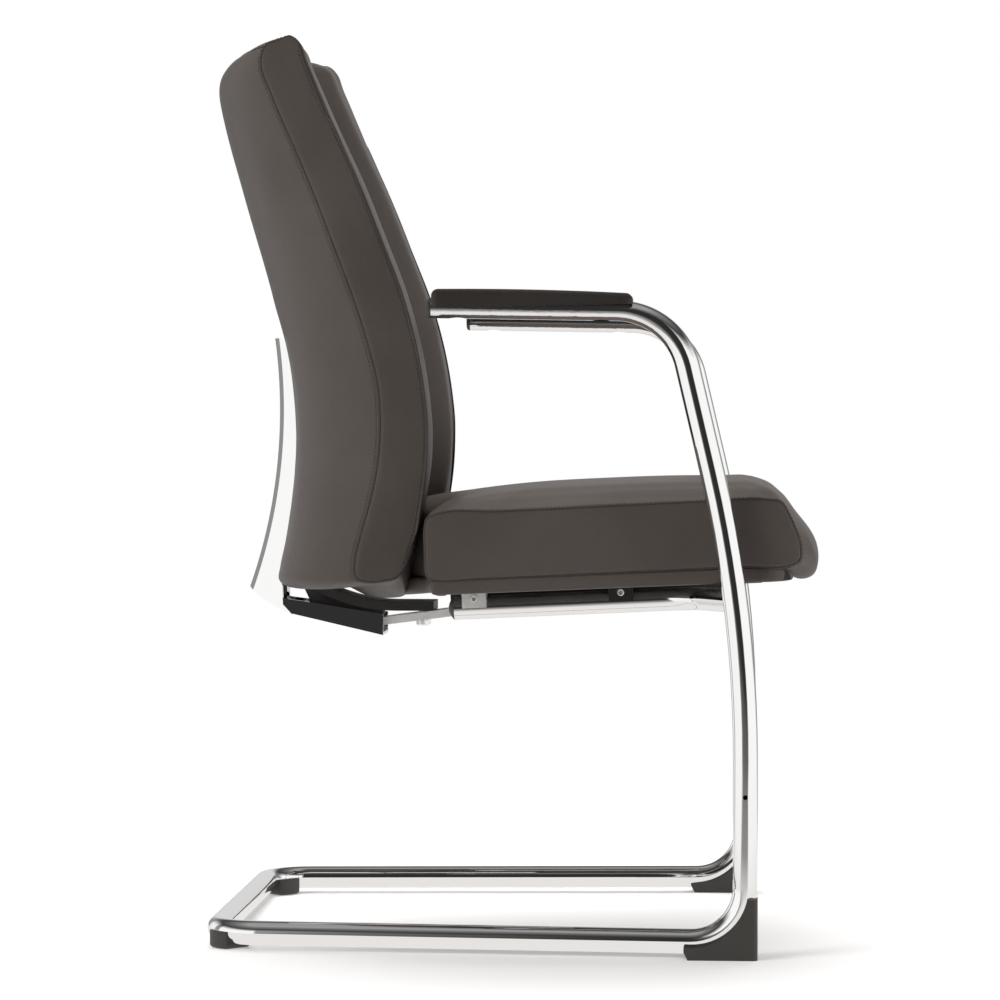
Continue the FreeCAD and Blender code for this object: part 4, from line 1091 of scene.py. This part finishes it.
# How much of the wall a mirror ray sees in the floor, as (metres from the chair, share)
DUSK = [(0.6, 0), (0.9, 0.35), (1.2, 0.68), (2.6, 0.88), (5.0, 1)]
FLOOR_FAR = DUSK[-1][0]
stops = [(metres / FLOOR_FAR, (share, share, share, 1)) for metres, share in DUSK]
dusk = Wire.add(tree, "ShaderNodeValToRGB", {"stops": stops}, {"Fac": far * (1 / FLOOR_FAR)})
FLOOR_GREY = (0.79, 0.775, 0.765, 1)
matt = Wire.add(tree, "ShaderNodeBsdfDiffuse", None, {"Color": FLOOR_GREY}, output="BSDF")
white = Wire.add(tree, "ShaderNodeEmission", None, {"Color": WHITE, "Strength": 1.0}, output="Emission")
room_seen = blended(dusk, SHADED_PAPER, wall_toward(spot))
sheen = Wire.add(tree, "ShaderNodeEmission", None, {"Color": room_seen, "Strength": 1.0}, output="Emission")
paper_seen = Wire.add(tree, "ShaderNodeMixShader", None, {0: looked_at * fade, 1: matt, 2: white})
mixed = Wire.add(tree, "ShaderNodeMixShader", None, {0: mirrored, 1: paper_seen, 2: sheen})
ending = tree.nodes.new("ShaderNodeOutputMaterial")
tree.links.new(mixed.socket, ending.inputs["Surface"])
floor.data.materials.append(paper)
print("floor:", floor.name)

# %% [markdown]
# ## Room and lamps
# The room gives an even soft light from all round. A large lamp hangs above, beyond the chair, so that
# the shadow falls toward the photographer. One lamp behind on the left lights the rear of the back,
# and a small low one lights the nose of the seat. The lamps themselves stay out of sight.

# %% Room and lamps
room = bpy.data.worlds.new("room")
bpy.context.scene.world = room
room.use_nodes = True
tree = room.node_tree
tree.nodes.clear()
rays = tree.nodes.new("ShaderNodeLightPath")
looked_at = Wire(rays.outputs["Is Camera Ray"])
mirrored = Wire(rays.outputs["Is Glossy Ray"]).above(Wire(rays.outputs["Is Transmission Ray"]))
direction = Wire.add(tree, "ShaderNodeTexCoord", output="Generated")
up = axes_of(direction)[2]
height = up.sum_with("ARCSINE", up, 0.0) * (1 / math.pi) + 0.5
ceiling = grey_ramp(height, CEILING, 180)
reach = {"Value": height, "From Min": 0.5 + CEILING_FROM / 180, "From Max": 0.5 + CEILING_TO / 180}
overhead = Wire.add(tree, "ShaderNodeMapRange", {"interpolation_type": "SMOOTHSTEP"}, reach)
seen = blended(looked_at, blended(overhead, wall_toward(direction), ceiling), WHITE)
soft = Wire.add(tree, "ShaderNodeBackground", None, {"Color": WHITE, "Strength": 0.42}, output="Background")
shown = Wire.add(tree, "ShaderNodeBackground", None, {"Color": seen, "Strength": 1.0}, output="Background")
both = Wire.add(tree, "ShaderNodeMixShader", None, {0: looked_at.above(mirrored), 1: soft, 2: shown})
ending = tree.nodes.new("ShaderNodeOutputWorld")
tree.links.new(both.socket, ending.inputs["Surface"])


def soft_box(name, place, aim, wide, high, power):
    """A rectangular lamp at a place, turned to a point."""
    lamp = bpy.data.lights.new(name, "AREA")
    lamp.shape = "RECTANGLE"
    lamp.size = wide
    lamp.size_y = high
    lamp.energy = power
    holder = bpy.data.objects.new(name, lamp)
    holder.location = place
    holder.rotation_euler = (Vector(aim) - Vector(place)).to_track_quat("-Z", "Y").to_euler()
    holder.visible_glossy = False
    holder.visible_camera = False
    bpy.context.scene.collection.objects.link(holder)
    return holder


soft_box("lamp_overhead", (1.3, 0.1, 3.0), (0, 0, 0.4), 2.4, 2.4, 165)
soft_box("lamp_behind_left", (-2.3, 2.6, 2.1), (0, 0.2, 0.75), 1.6, 2.0, 105)
soft_box("lamp_front_right", (-0.55, -1.8, 0.35), (0, -0.3, 0.42), 0.7, 0.5, 20)
bpy.context.scene.view_settings.view_transform = "Standard"
print("lamps:", [lamp.name for lamp in bpy.data.lights])

# %% [markdown]
# ## The camera
# The camera stands four metres away on the sitter's right with a long lens. Its turn and dip follow
# from where the chair's cross lines vanish and where the horizon lies in the picture, in pixels.

# %% Camera
PHOTO = 1000
FOCUS = 3860
HORIZON = 416
VANISHING = 745
SENSOR = 36
STAND = (-4.136, -0.2447, 0.5433)
lens = bpy.data.cameras.new("camera")
lens.sensor_width = SENSOR
lens.lens = FOCUS / PHOTO * SENSOR
camera = bpy.data.objects.new("camera", lens)
turn = math.atan2(VANISHING - PHOTO / 2, FOCUS)
dip = math.atan2(PHOTO / 2 - HORIZON, FOCUS)
look = Vector((math.cos(turn) * math.cos(dip), math.sin(turn) * math.cos(dip), -math.sin(dip)))
camera.location = STAND
camera.rotation_euler = look.to_track_quat("-Z", "Y").to_euler()
bpy.context.scene.collection.objects.link(camera)
bpy.context.scene.camera = camera
print("camera turned", round(math.degrees(turn), 2), "and tipped", round(math.degrees(dip), 2))
